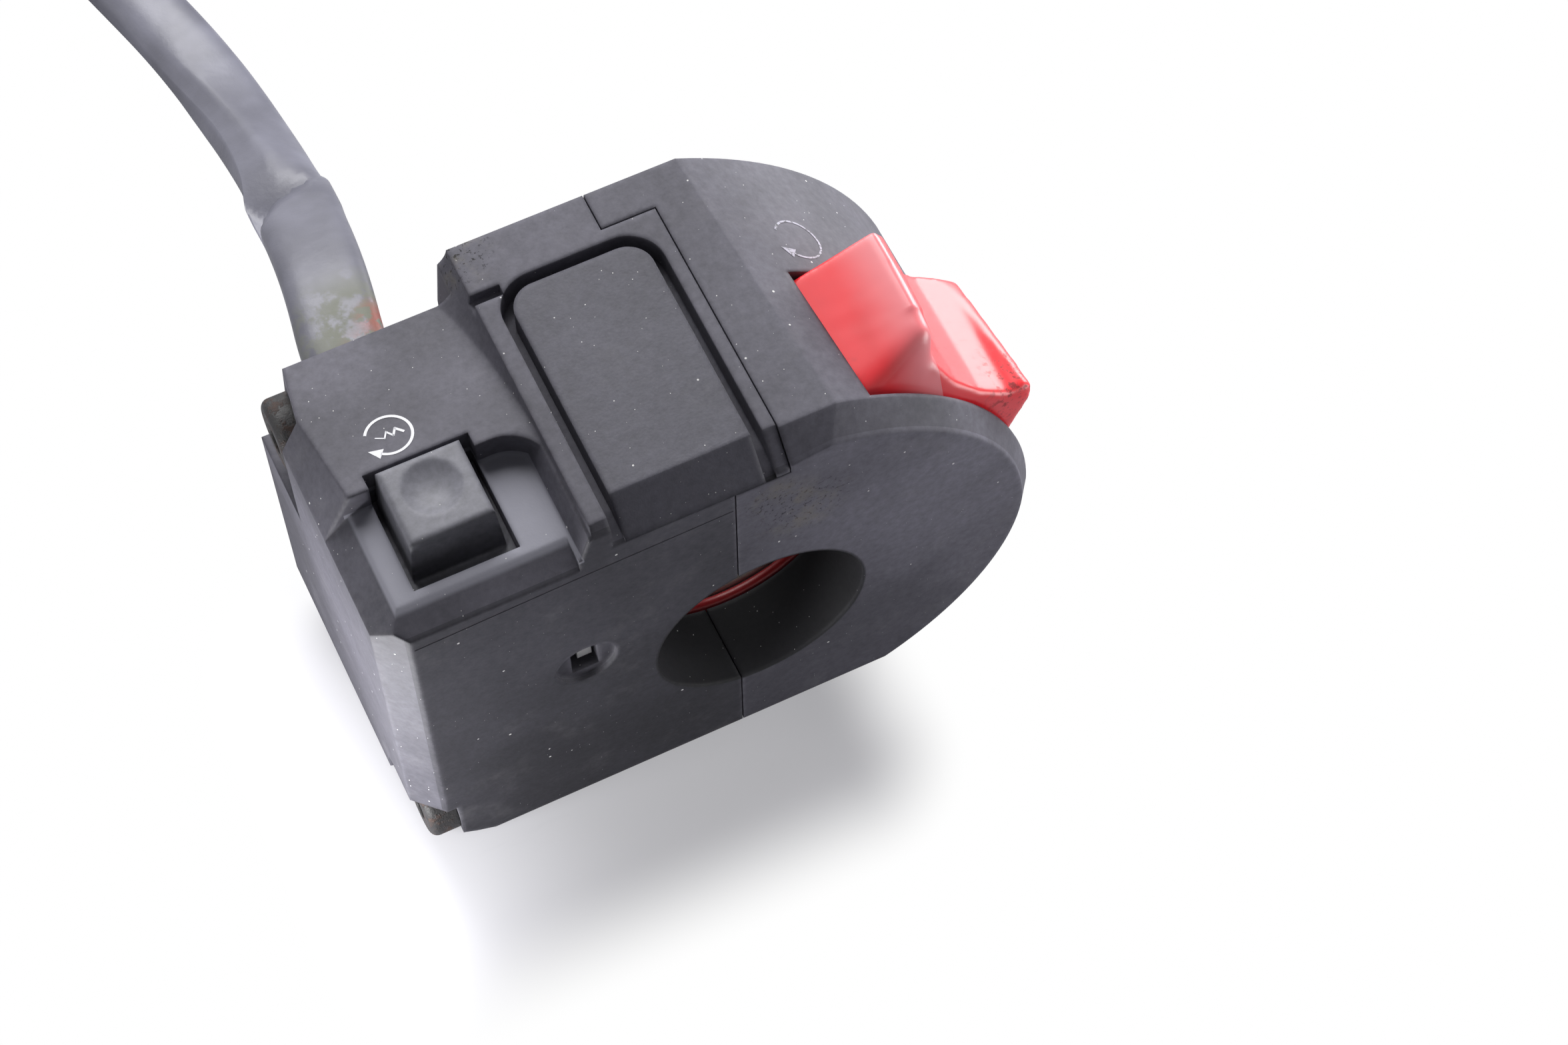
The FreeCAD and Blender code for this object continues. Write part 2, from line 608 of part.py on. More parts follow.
starter_room = box("starter_room", ("case_left + wall", "room_right_x"),
                   ("room_near_y", "notch_one_y - wall"), ("notch_two_z + wall", room_top))
starter_room_far = box("starter_room_far", ("screw_one_seat + wall", "room_right_x"),
                       ("notch_one_y - wall - 1", "room_far_y"),
                       ("under_z + wall + 0.4", room_top))
starter_room_low = box("starter_room_low", ("screw_two_seat + wall", "room_right_x"),
                       ("screw_two_y + screw_shank + 1.1", "room_far_y"),
                       ("under_z + wall + 0.4", "notch_two_z + wall + 1"))
bar_hall = box("bar_hall", ("room_right_x - 1", "-room_radius + 2.5"),
               ("-half_width + rib", "room_far_y - 0.7"), ("under_z + wall + 0.4", room_top))
screw_holes = [rod("screw_hole_%d" % n, "x", "screw_shank + screw_fit",
                   ("screw_%s_seat - 1" % word, "screw_%s_y" % word, "screw_%s_z" % word),
                   "split_x - screw_%s_seat + 2" % word)
               for n, word in enumerate(("one", "two"), start=1)]
window_disc = rod("window_disc_cut", "y", "window_disc",
                  ("window_x", "-half_width - 1", "window_z"), "window_sink + 1")
window_hole = box("window_hole", ("window_x - window_wide/2", "window_x + window_wide/2"),
                  ("-half_width - 1", "room_near_y + 1"),
                  ("window_z - window_tall/2", "window_z + window_tall/2"))
cable_hole = rod("cable_hole", "y", "cable_dia/2 + grommet_lip",
                 ("cable_x", "room_far_y - 1", "cable_z"), "tier_foot_y - room_far_y + 3")
clip_slots = [box("clip_slot_%d" % n,
                  ("cover_left + %s - 0.15" % start, "cover_left + %s + clip_thick + 0.75" % start),
                  ("-clip_wide/2 - 3.35", "clip_wide/2 - 2.65"), (room_top + " - 1", "top_z"))
              for n, start in enumerate(("1.4", "cover_right - cover_left - 6.2"), start=1)]
frame_of_case = fuse("frame_of_case", starter_block, tongue)
hollowed = cut("hollowed", frame_of_case, brow_lean, tier_lean, deck_cut, pocket_cut,
               pocket_slope, near_band, brow_slope, tongue_slope, cover_seat, far_groove,
               corner_plane, notch_one, notch_one_seat, notch_two, button_slot, starter_room,
               starter_room_far, starter_room_low, bar_hall, bar_bore, bar_room, window_disc, window_hole,
               cable_hole, *clip_slots)

# Posts that carry the starter's switch base, hung from the roof of the room
base_top = "(starter_base_z + starter_base_thick)"
small_places = [("starter_base_right - 2.4", "starter_base_near + 2.4"),
                ("starter_base_right - 2.4", "starter_base_far - 2.4")]
posts = [rod("post_%d" % n, "z", "post_radius", (x, y, base_top),
             "(%s) + 0.5 - (%s)" % (room_top, base_top))
         for n, (x, y) in enumerate(small_places, start=1)]
post_holes = [rod("post_hole_%d" % n, "z", "small_shank + small_fit", (x, y, base_top + " - 1"),
                  "small_length + 1")
              for n, (x, y) in enumerate(small_places, start=1)]
ledge = box("ledge", ("case_left + wall - 0.5", "starter_base_left + 2.6"),
            ("starter_base_near", "starter_base_far"), ("starter_base_z - 2", "starter_base_z"))
lower_case = keep("lower_case", cut("starter_half", fuse("with_posts", hollowed, ledge, *posts),
                                    *(post_holes + screw_holes)))

# Blank cover: plate, near lip and two snap legs
cover = body("blank_cover")
pad(cover, "plate", "x", [
    ("cover_foot_y", "cover_foot_z"), ("cover_foot_y + 0.6", "cover_foot_z"),
    ("crease_y", "top_z - cover_thick"), ("cover_far_y", "top_z - cover_thick"),
    ("cover_far_y", "top_z"), ("crease_y", "top_z")], "cover_left", "cover_right")
for word, start in (("left", "cover_left + 1.4"), ("right", "cover_right - 6.2")):
    pad(cover, word + "_leg", "y", [
        (start + " + 0.1", "top_z - cover_thick + 0.1"),
        (start + " + 0.1", "top_z - cover_thick - clip_reach"),
        (start + " + 0.1 + clip_thick", "top_z - cover_thick - clip_reach"),
        (start + " + 0.1 + clip_thick", "top_z - cover_thick + 0.1")],
        "-clip_wide/2 - 3", "clip_wide/2 - 3")
corners = [n for n, e in enumerate(cover.Shape.Edges, start=1)
           if along(e, "z") and lies(e, "y", number("cover_far_y"))]
plate_and_legs = cover.Tip
far_round = cover.newObject("PartDesign::Fillet", "far_round")
far_round.Base = (plate_and_legs, ["Edge%d" % n for n in corners])
bind(far_round, "Radius", "cover_round")
doc.recompute()

# Starter button: drafted cap with a finger dish, a stop flange and a hollow stem
cap_low = room_top + " - flange_gap - 0.4"
button_cap = loft("button_cap", [
    outline_at("cap_foot", "z", rectangle(
        ("button_left - button_flare", "button_right + button_flare"),
        ("button_near_y - button_flare", "button_far_y")), cap_low),
    outline_at("cap_top", "z", rectangle(("button_left", "button_right"),
                                         ("button_near_y", "button_far_y")), "button_top_z")])
button_x = "(button_left + button_right)/2"
button_y = "(button_near_y + button_far_y)/2"
flange = box("button_flange",
             ("button_left - button_flare - button_slot_side - flange_lip",
              "button_right + button_flare + button_slot_side + flange_lip"),
             ("button_near_y - button_slot_near - 0.9", "button_far_y + flange_lip + 0.6"),
             (room_top + " - flange_gap - flange_thick", room_top + " - flange_gap"))
stem = box("button_stem", (button_x + " - stem_half", button_x + " + stem_half"),
           (button_y + " - stem_half", button_y + " + stem_half"),
           ("stem_foot_z", room_top + " - flange_gap - 0.3"))
dish_ball = doc.addObject("Part::Sphere", "dish_ball")
bind(dish_ball, "Radius", "(dish_radius^2 + dish_depth^2)/(2*dish_depth)")
bind(dish_ball, "Placement.Base.x", button_x)
bind(dish_ball, "Placement.Base.y", button_y + " + 0.55")
bind(dish_ball, "Placement.Base.z",
     "button_top_z - dish_depth + (dish_radius^2 + dish_depth^2)/(2*dish_depth)")
spring_hole = rod("spring_hole", "z", "seat_hole", (button_x, button_y, "stem_foot_z - 1"),
                  "spring_seat + 1")
starter_button = keep("starter_button", rounded(
    "button_edges", cut("button_block", fuse("button_whole", button_cap, flange, stem),
                        dish_ball, spring_hole), "0.45",
    lambda e: lies(e, "z", number("button_top_z")) and e.Curve.TypeId == "Part::GeomLine"))

# Moving contact on the stem's foot, with the spring passing through it
bridge_plate = box("bridge_plate", (button_x + " - bridge_half", button_x + " + bridge_half"),
                   (button_y + " - stem_half", button_y + " + stem_half"),
                   ("stem_foot_z - bridge_thick", "stem_foot_z"))
bridge_hole = rod("bridge_hole", "z", "seat_hole", (button_x, button_y, "stem_foot_z - 2"), "4")
keep("starter_moving_contact", cut("bridge", bridge_plate, bridge_hole))

# Starter switch base with its two contacts
starter_base = body("starter_switch_base")
pad(starter_base, "slab", "z", rectangle(("starter_base_left", "starter_base_right"),
                                         ("starter_base_near", "starter_base_far")),
    "starter_base_z", base_top)
contact_spots = [(button_x + " - bridge_half + 1.0", button_y),
                 (button_x + " + bridge_half - 1.0", button_y)]

round_holes(starter_base, "base_screw_holes", small_places, "small_shank + small_fit",
            "starter_base_z - 1", base_top + " + 1")
round_holes(starter_base, "contact_holes", contact_spots, "contact_pin",
            "starter_base_z - 1", base_top + " + 1")
contact_top = "stem_foot_z - bridge_thick - button_travel - contact_gap"
keep("starter_fixed_contacts", fuse("contact_posts", *[
    fuse("contact_post_%d" % n,
         box("contact_block_%d" % n, (x + " - contact_block/2", x + " + contact_block/2"),
             (y + " - contact_block", y + " + contact_block"), (base_top, contact_top)),
         rod("contact_pin_%d" % n, "z", "contact_pin", (x, y, "starter_base_z - contact_tail"),
             base_top + " - starter_base_z + contact_tail + 0.3"))
    for n, (x, y) in enumerate(contact_spots, start=1)]))


keep("starter_base_screws", fuse("base_screws", *[
    fuse("base_screw_%d" % n,
         rod("base_screw_head_%d" % n, "z", "small_head", (x, y, "starter_base_z - small_head_thick"),
             "small_head_thick"),
         rod("base_screw_shank_%d" % n, "z", "small_shank", (x, y, "starter_base_z - 0.4"),
             "small_length + 0.2"))
    for n, (x, y) in enumerate(small_places, start=1)]))
spring_foot = base_top + " + spring_wire + 0.05"
spring_head = "stem_foot_z + spring_seat - spring_wire - 0.05"
starter_spring = feature("starter_return_spring", tube(
    helix_wire(at(button_x, button_y, "0"), number("spring_radius"), number(spring_foot),
               number(spring_head), SIZES["spring_turns"]), number("spring_wire/2")))

# Case screws, turned about the X axis, and their brass threads
for_screws = []
for n, word in enumerate(("one", "two"), start=1):
    seat, y, z = ["screw_%s_%s" % (word, part) for part in ("seat", "y", "z")]
    head = rounded("head_%d_edge" % n,
                   rod("head_%d" % n, "x", "screw_head", (seat + " - screw_head_thick", y, z),
                       "screw_head_thick"), "0.9",
                   lambda e, s=seat: e.Curve.TypeId == "Part::GeomCircle"
                   and abs(e.Vertexes[0].X - number(s + " - screw_head_thick")) < 0.01)
    shank = rod("shank_%d" % n, "x", "screw_shank", (seat + " - 0.3", y, z),
                "screw_length + 0.3")
    socket = rod("socket_%d" % n, "x", "screw_socket", (seat + " - screw_head_thick - 1", y, z),
                 "screw_socket_deep + 1")
    for_screws.append(cut("screw_%d" % n, fuse("screw_%d_whole" % n, head, shank), socket))
keep("case_screws", fuse("case_screw_pair", *for_screws))
inserts = []
for n, word in enumerate(("one", "two"), start=1):
    y, z = ["screw_%s_%s" % (word, part) for part in ("y", "z")]
    inserts.append(cut("insert_%d" % n,
                       rod("insert_%d_outside" % n, "x", "insert_radius",
                           ("split_x + seam_gap", y, z), "insert_length"),
                       rod("insert_%d_bore" % n, "x", "screw_shank",
                           ("split_x - 1", y, z), "insert_length + 3")))
keep("case_screw_inserts", fuse("insert_pair", *inserts))

# Metal blade behind the window of the near face
blade_x = "window_x + 0.25"
keep("window_contact", fuse("window_blade_whole",
     box("blade_front", (blade_x + " - window_blade/2", blade_x + " + window_blade/2"),
         ("-half_width + 1.3", "room_near_y + 0.6"), ("window_z - 0.9", "window_z + 1.9")),
     box("blade_strip", (blade_x + " - window_blade/2 - 0.6", blade_x + " + window_blade/2 + 0.6"),
         ("room_near_y", "room_near_y + 0.6"), (base_top + " + 0.1", "window_z + 5"))))

# Kill rocker: saddle of two wings on a hub, with a tail that drives the slider
rocker = body("kill_rocker")
rocker_near = "slot_near_y + slot_gap"
rocker_far = "slot_far_y - slot_gap"
pad(rocker, "saddle", "y", [
    tilted("-12.7", "5.0"), tilted("-9.6", "kill_skirt + 3.6"), tilted("-hub_radius", "-1.2"),
    tilted("-hub_radius", "-1.6"), tilted("-1.6", "-hub_radius"), tilted("1.6", "-hub_radius"),
    tilted("hub_radius", "-1.6"),
    tilted("hub_radius", "-1.2"), tilted("9.6", "kill_skirt + 1.6"), tilted("12.6", "3.6"),
    tilted("9.8", "10.9"), tilted("8.6", "10.9") + ("11.0",), tilted("3.0", "9.2") + ("6.5",),
    tilted("-4.6", "11.2"), tilted("-6.6", "13.7"), tilted("-7.9", "13.7")],
    rocker_near, rocker_far)
pad(rocker, "tail", "y", [tilted(a, b) for a, b in rectangle(
    ("-tail_half", "tail_half"), ("tail_foot", "-hub_radius + 0.3"))],
    "-9.3", "-5.3")
pin_hole = rocker.newObject("Sketcher::SketchObject", "pin_hole_outline")
pin_hole.AttachmentSupport = [([f for f in rocker.Origin.OriginFeatures
                                if f.Role == PLANE["y"]][0], "")]
pin_hole.MapMode = "FlatFace"
bind(pin_hole, "AttachmentOffset.Base.z", "half_width")
pin_hole.addGeometry(Part.Circle(V(number("kill_x"), number("kill_z"), 0), V(0, 0, 1),
                                 number("pin_radius + pin_fit")))
for kind, word in (("DistanceX", "kill_x"), ("DistanceY", "kill_z")):
    held = pin_hole.addConstraint(Sketcher.Constraint(kind, -1, 1, 0, 3, number(word)))
    pin_hole.setExpression("Constraints[%d]" % held, linked(word))
held = pin_hole.addConstraint(Sketcher.Constraint("Radius", 0, number("pin_radius + pin_fit")))
pin_hole.setExpression("Constraints[%d]" % held, linked("pin_radius + pin_fit"))
bore = rocker.newObject("PartDesign::Pocket", "pin_bore_cut")
bore.Profile = pin_hole
bind(bore, "Length", "2*half_width")
doc.recompute()
if bore.Shape.Volume > rocker.Tip.BaseFeature.Shape.Volume - 1e-3:
    raise RuntimeError("the rocker's pin bore cuts nothing")

pin = body("kill_pivot_pin")
turned(pin, "pin_round", [("slot_near_y - 1.5", "0"), ("slot_far_y + 2.3", "0"),
                          ("slot_far_y + 2.3", "pin_radius"), ("slot_near_y - 1.5", "pin_radius")])
pin.Placement = FreeCAD.Placement(V(0, 0, 0), FreeCAD.Rotation(V(0, 0, 1), 90))
bind(pin, "Placement.Base.x", "kill_x")
bind(pin, "Placement.Base.z", "kill_z")

# Kill switch base with its contact strips, the slider and the bridge under it
base_low = "kill_room_floor + 0.1"
base_near = "slot_near_y + 0.9"
base_far = "slot_far_y - 0.5"
keep("kill_switch_base", cut("kill_base_block", prism(
    "kill_base_slab", "y", tilted_box(("-kill_base_half", "kill_base_half"),
                                      (base_low, "kill_base_top")), base_near, base_far),
    *kill_screw_holes))
slider_low = "(kill_base_top + 2*strip_thick + strip_fit)"
slider_top = slider_low + " + slider_thick"
keep("kill_contact_slider", cut("slider_block", prism(
    "slider_body", "y", tilted_box(("-slider_half", "slider_half"), (slider_low, slider_top)),
    "-11.6", "-3.0"), prism(
        "slider_slot", "y", tilted_box(("-tail_half - tail_gap", "tail_half + tail_gap"),
                                       (slider_low + " - 1", "0")), "-9.6", "-5.0")))
keep("kill_slider_contact", prism(
    "slider_bridge", "y", tilted_box(("-3.4", "3.4"), ("kill_base_top + strip_thick + strip_fit",
                                                       slider_low)), "-4.6", "-3.2"))
strips = [prism("strip_%d" % n, "y", tilted_box((left, right),
                                                ("kill_base_top", "kill_base_top + strip_thick")),
                "-4.9", "-3.0") for n, (left, right) in enumerate(
                    (("-7.4", "-1.2"), ("1.2", "7.4")), start=1)]
keep("kill_fixed_contacts", fuse("strip_pair", *strips))

# Detent of the rocker: a spring and a round-nosed plunger in its far side
detent_x, detent_z = tilted("detent_across", "detent_out")
detent_foot = "slot_far_y - slot_gap - detent_deep"
detent_bore = rod("detent_bore", "y", "detent_radius + 0.1", (detent_x, detent_foot, detent_z),
                  "detent_deep + 1")


def leaned(name, corner, turn, size):
    """A block in the rocker's frame, turned about its own low corner; for trimming faces."""
    block = doc.addObject("Part::Box", name)
    block.Length, block.Width, block.Height = size
    frame = FreeCAD.Rotation(V(0, 1, 0), number("kill_tilt"))
    block.Placement = FreeCAD.Placement(
        at("kill_x", "0", "kill_z") + frame.multVec(V(*corner)), frame.multiply(turn))
    return block


# Near face leans back towards the tall left wing; the right ridge rises towards the rider
near_lean = FreeCAD.Rotation(V(0, 0, 1), -5.0).multiply(FreeCAD.Rotation(V(1, 0, 0), -24.1))
near_trim = leaned("near_trim", (-16.0, -15.4, 3.6), near_lean, (40, 0.01, 20))
near_trim.Width = 8
near_trim.Placement.Base = near_trim.Placement.Base - near_trim.Placement.Rotation.multVec(
    V(0, 8, 0))
right_trim = leaned("right_trim", (5.5, 1.0, 9.3), FreeCAD.Rotation(V(1, 0, 0), -6.6),
                    (12, 20, 6))
right_trim.Placement.Base = right_trim.Placement.Base - right_trim.Placement.Rotation.multVec(
    V(0, 20, 0))
rocker_solid = cut("rocker_with_detent", rocker, detent_bore, near_trim, right_trim)
nodes.remove(rocker)
rocker.Label = "rocker_body"
keep("kill_rocker", rocker_solid)
plunger_foot = "slot_far_y - 0.05 - plunger_long"
keep("kill_detent_plunger", rounded(
    "plunger_nose", rod("plunger_round", "y", "detent_radius",
                        (detent_x, plunger_foot, detent_z), "plunger_long"),
    "0.7", lambda e: e.Curve.TypeId == "Part::GeomCircle"
    and abs(e.Vertexes[0].Y - number("slot_far_y - 0.05")) < 0.01))
coil_radius = number("detent_radius - spring_wire/2 - 0.1")
detent_line = helix_wire(V(0, 0, 0), coil_radius, number(detent_foot + " + spring_wire/2 + 0.05"),
                         number(plunger_foot + " - spring_wire/2 - 0.05"), 4.0)
detent_line.rotate(V(0, 0, 0), V(1, 0, 0), -90)
detent_line.translate(at(detent_x, "0", detent_z))
feature("kill_detent_spring", tube(detent_line, number("spring_wire/2")))

# Two small screws that hold the kill base down, in its near margin
keep("kill_base_screws", fuse("kill_screw_pair", *[
    fuse("kill_screw_%d" % n,
         tilted_rod("kill_screw_head_%d" % n, "kill_screw_head", across, level, "kill_base_top",
                    "kill_screw_head_thick"),
         tilted_rod("kill_screw_shank_%d" % n, "kill_screw_radius", across, level,
                    "kill_base_top - kill_screw_long", "kill_screw_long + 0.3"))
    for n, (across, level) in enumerate(kill_screw_spots, start=1)]))


# Leads inside the housing
def ring_point(angle, y):
    """A corner of a lead's way round the bar, just outside the bar's own surface."""
    reach = number("(bar_radius + room_radius)/2") / math.cos(math.radians(22.5))
    return V(reach * math.cos(math.radians(angle)), y, reach * math.sin(math.radians(angle)))


def lead(name, points):
    wire, radii = run_path(points)
    print("%s: %.0f mm, least radius %.1f mm" % (name, wire.Length, min(radii)))
    return feature(name, tube(wire, number("lead_radius")))


gland_y = number("room_far_y + 0.6")
cable_x, cable_z = number("cable_x"), number("cable_z")
lay = number("lead_radius") + 0.3
lead_out = number("kill_base_top + strip_thick + lead_radius") + 0.03


def in_tilt(across, y, out):
    x, z = tilted(str(across), str(out))
    return at(x, str(y), z)


kill_ends = {
    "wire_red": [in_tilt(-5.2, -4.3, lead_out), in_tilt(-9.2, -5.2, lead_out)],
    "wire_white": [in_tilt(6.4, -4.3, lead_out), in_tilt(6.4, -1.7, lead_out),
                   in_tilt(-5.4, -1.7, lead_out + 0.9), in_tilt(-7.6, -4.4, lead_out + 2.2)]}
rib_end = number("-half_width + rib")
for name, hole_y, ring_y, side in (("wire_red", rib_end + 2.1, rib_end + 0.9, 1),
                                   ("wire_white", rib_end + 4.0, rib_end + 2.6, -1)):
    lead(name, kill_ends[name] + [
        V(4.9, hole_y + 0.2, 17.7 if side > 0 else 19.9), V(2.6, hole_y, 17.0),
        V(2.6, hole_y, 12.35), ring_point(33, hole_y - 0.3),
        ring_point(-12, ring_y + 0.3), ring_point(-57, ring_y), ring_point(-102, ring_y),
        V(-10.5, ring_y + 0.3, -6.7), V(-15.0, ring_y + 1.2, -6.5 + 0.8 * side),
        V(-18.6, ring_y + 2.5, -7.0 + 0.9 * side), V(-22.2, ring_y + 6.0, -4.6 + 0.9 * side),
        V(cable_x + 1.3, 1.0, -0.4 + 1.25 * side),
        V(cable_x + lay, gland_y - 4.5, cable_z + lay * side),
        V(cable_x + lay, gland_y, cable_z + lay * side)])
for name, (x, y), side in (("wire_black", contact_spots[0], 1),
                           ("wire_yellow", contact_spots[1], -1)):
    tail = at(x, y, "starter_base_z - contact_tail - 0.1")
    lead(name, [
        tail, tail + V(0, 0, -2.8), V(cable_x - 1.9 - 1.1 * side, -4.3, -2.9 - 0.6 * side),
        V(cable_x - 1.2 - 0.2 * side, 1.2, -0.8 - 1.2 * side),
        V(cable_x - lay, gland_y - 4.0, cable_z - lay * side),
        V(cable_x - lay, gland_y, cable_z - lay * side)])

# Rubber grommet where the harness leaves the far wall
grommet = body("harness_grommet")
collar = "(cable_dia/2 + grommet_lip)"
lip = collar + " + 0.65"
turned(grommet, "grommet_round", [
    ("room_far_y - grommet_lip_thick", "cable_dia/2 + 0.05"),
    ("tier_foot_y + grommet_lip_thick + grommet_nose", "cable_dia/2 + 0.05"),
    ("tier_foot_y + grommet_lip_thick + grommet_nose", "cable_dia/2 + 0.8"),
    ("tier_foot_y + grommet_lip_thick", collar), ("tier_foot_y + grommet_lip_thick", lip),
    ("tier_foot_y", lip), ("tier_foot_y", collar), ("room_far_y", collar), ("room_far_y", lip),
    ("room_far_y - grommet_lip_thick", lip)])
grommet.Placement = FreeCAD.Placement(V(0, 0, 0), FreeCAD.Rotation(V(0, 0, 1), 90))
bind(grommet, "Placement.Base.x", "cable_x")
bind(grommet, "Placement.Base.z", "cable_z")

# Harness: the sleeve's free stretch, then the rest put away as a flat coil
floor_line = number("under_z + cable_dia/2")
coil_line = number("under_z + tie_thick + cable_dia/2")
SLEEVE_ROUTE = [
    V(cable_x, gland_y + 0.15, cable_z), V(cable_x, 23.8, cable_z), V(-23.4, 37.5, 0.4),
    V(-22.1, 53.5, -7.4), V(-21.9, 68.0, -15.0), V(-23.6, 82.5, floor_line),
    V(-27.6, 97.0, floor_line), V(-31.6, 110.0, coil_line), V(-34.4, 120.0, coil_line)]
sleeve_wire, sleeve_radii = run_path(SLEEVE_ROUTE)
sleeve = feature("harness_sleeve", tube(sleeve_wire, number("cable_dia/2")))
print("sleeve radii", [round(r, 1) for r in sleeve_radii], "length", round(sleeve_wire.Length, 1))
print("sleeve volume over section times length",
      round(sleeve.Shape.Volume / (math.pi * number("cable_dia/2") ** 2 * sleeve_wire.Length), 4))


def flat_way(start, heading, steps):
    """A level line of straights and arcs; each step is a length, or a radius and an angle."""
    edges, here, way = [], start, heading.normalize()
    for step in steps:
        if len(step) == 1:
            after = here + way * step[0]
            edges.append(Part.LineSegment(here, after).toShape())
        else:
            radius, angle = step
            side = V(way.y, -way.x, 0) * math.copysign(1, angle)
            centre = here + side * radius
            turn = FreeCAD.Rotation(V(0, 0, -1), angle)
            half = FreeCAD.Rotation(V(0, 0, -1), angle / 2)
            after = centre + turn.multVec(here - centre)
            edges.append(Part.Arc(here, centre + half.multVec(here - centre), after).toShape())
            way = turn.multVec(way)
        here = after
    return Part.Wire(edges), here, way


pitch = number("cable_dia + turn_gap")
outer = number("coil_mean/2") + pitch / 2
steps = [(number("cable_dia"),)]
for half_turn in range(3):
    steps += [(outer - pitch / 2 * half_turn, 90)] * 2
steps += [(outer - pitch * 1.5, 90), (number("coil_end_radius"), 100), (number("cable_dia"),)]
coil_start = SLEEVE_ROUTE[-1]
coil_wire, coil_end, coil_way = flat_way(coil_start, SLEEVE_ROUTE[-1] - SLEEVE_ROUTE[-2], steps)
coil = feature("harness_coil", tube(coil_wire, number("cable_dia/2")))


def least_gap(wire, dia, apart):
    """The least clear distance between stretches of a wire that lie apart along it."""
    points = wire.discretize(Number=400)
    stride = wire.Length / 399
    skip = int(apart / stride) + 1
    least = min((a - b).Length for i, a in enumerate(points) for b in points[i + skip:])
    return least - dia


print("coil length %.1f, least gap to itself %.2f mm" % (
    coil_wire.Length, least_gap(coil_wire, number("cable_dia"), number("4*cable_dia"))))
print("whole harness %.0f mm" % (sleeve_wire.Length + coil_wire.Length))

# Band that ties the turns together, on the far side of the coil
tie = body("coil_tie")
half_wide = "(cable_dia + turn_gap/2 + tie_thick + 0.1)"
half_tall = "(cable_dia/2 + tie_thick)"
pad(tie, "band", "x", rectangle(("-" + half_wide, half_wide), ("-" + half_tall, half_tall)),
    "-tie_wide/2", "tie_wide/2")
pocket(tie, "band_inside", "x", rectangle(
    ("-%s + tie_thick" % half_wide, "%s - tie_thick" % half_wide),
    ("-%s + tie_thick" % half_tall, "%s - tie_thick" % half_tall)), "-tie_wide/2 - 1",
    "tie_wide/2 + 1")
middle = coil_wire.OrderedEdges[2]
tie_spot = middle.valueAt(middle.LastParameter)
tie_way = middle.tangentAt(middle.LastParameter)
inward = V(tie_way.y, -tie_way.x, 0)
tie.Placement = FreeCAD.Placement(tie_spot + inward * (pitch / 2),
                                  FreeCAD.Rotation(V(1, 0, 0), tie_way))

# Connector on the harness's end
plug_turn = FreeCAD.Rotation(V(1, 0, 0), coil_way)
plug = body("connector_housing")
pad(plug, "plug_block", "x", rectangle(("-plug_wide/2", "plug_wide/2"),
                                       ("-plug_tall/2", "plug_tall/2")), "0", "plug_long")
pocket(plug, "plug_mouth", "x", rectangle(
    ("-plug_wide/2 + plug_wall", "plug_wide/2 - plug_wall"),
    ("-plug_tall/2 + plug_wall", "plug_tall/2 - plug_wall")), "plug_long - 10", "plug_long + 1")
pad(plug, "plug_latch", "x", rectangle(("-2.2", "2.2"), ("plug_tall/2 - 0.2", "plug_tall/2 + 1.0")),
    "8", "18")
plug.Placement = FreeCAD.Placement(coil_end, plug_turn)
blades = []
for n in range(4):
    side = (n - 1.5) * number("terminal_pitch")
    blade = Part.makeBox(number("terminal_long"), number("terminal_wide"),
                         number("terminal_thick"),
                         V(number("plug_long - 10"), side - number("terminal_wide/2"),
                           -number("terminal_thick/2")))
    blades.append(blade)
terminals = feature("connector_terminals", Part.makeCompound(blades))
terminals.Placement = FreeCAD.Placement(coil_end, plug_turn)


doc.recompute()
for thing in doc.Objects:
    if "Invalid" in thing.State or "Error" in thing.State:
        raise RuntimeError("%s failed: %s" % (thing.Name, thing.State))
os.makedirs("parts", exist_ok=True)
for piece in nodes:
    shape = piece.Shape
    if shape.isNull() or not shape.isValid():
        raise RuntimeError(piece.Label + " has no sound shape")
    shape.exportStep("parts/%s.step" % piece.Label)
    box_now = shape.BoundBox
    print("%-26s %d solids %9.2f mm3  X %.2f %.2f  Y %.2f %.2f  Z %.2f %.2f" % (
        piece.Label, len(shape.Solids), shape.Volume, box_now.XMin, box_now.XMax,
        box_now.YMin, box_now.YMax, box_now.ZMin, box_now.ZMax))
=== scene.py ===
"""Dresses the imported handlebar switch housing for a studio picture.

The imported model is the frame: every piece lies where its node does, in metres. Places and sizes
below are written in millimetres and turned into metres where a mesh or a material is made.
"""
import bisect
import math

import bmesh
import bpy
from mathutils import Matrix, Vector
from mathutils.bvhtree import BVHTree


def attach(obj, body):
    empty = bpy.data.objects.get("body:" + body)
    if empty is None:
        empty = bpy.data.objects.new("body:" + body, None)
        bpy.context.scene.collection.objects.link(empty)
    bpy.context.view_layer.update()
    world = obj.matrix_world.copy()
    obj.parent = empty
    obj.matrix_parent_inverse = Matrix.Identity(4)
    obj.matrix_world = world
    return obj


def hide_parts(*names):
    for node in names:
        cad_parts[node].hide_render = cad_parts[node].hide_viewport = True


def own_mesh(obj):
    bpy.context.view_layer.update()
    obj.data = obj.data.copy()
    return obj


bl_info = {
    "name": "Handlebar switch",
    "version": (1, 0, 0),
    "blender": (4, 5, 0),
    "location": "View3D > Sidebar > Switch",
    "description": "Builds the pieces and finishes of a handlebar switch housing",
    "category": "Object",
}

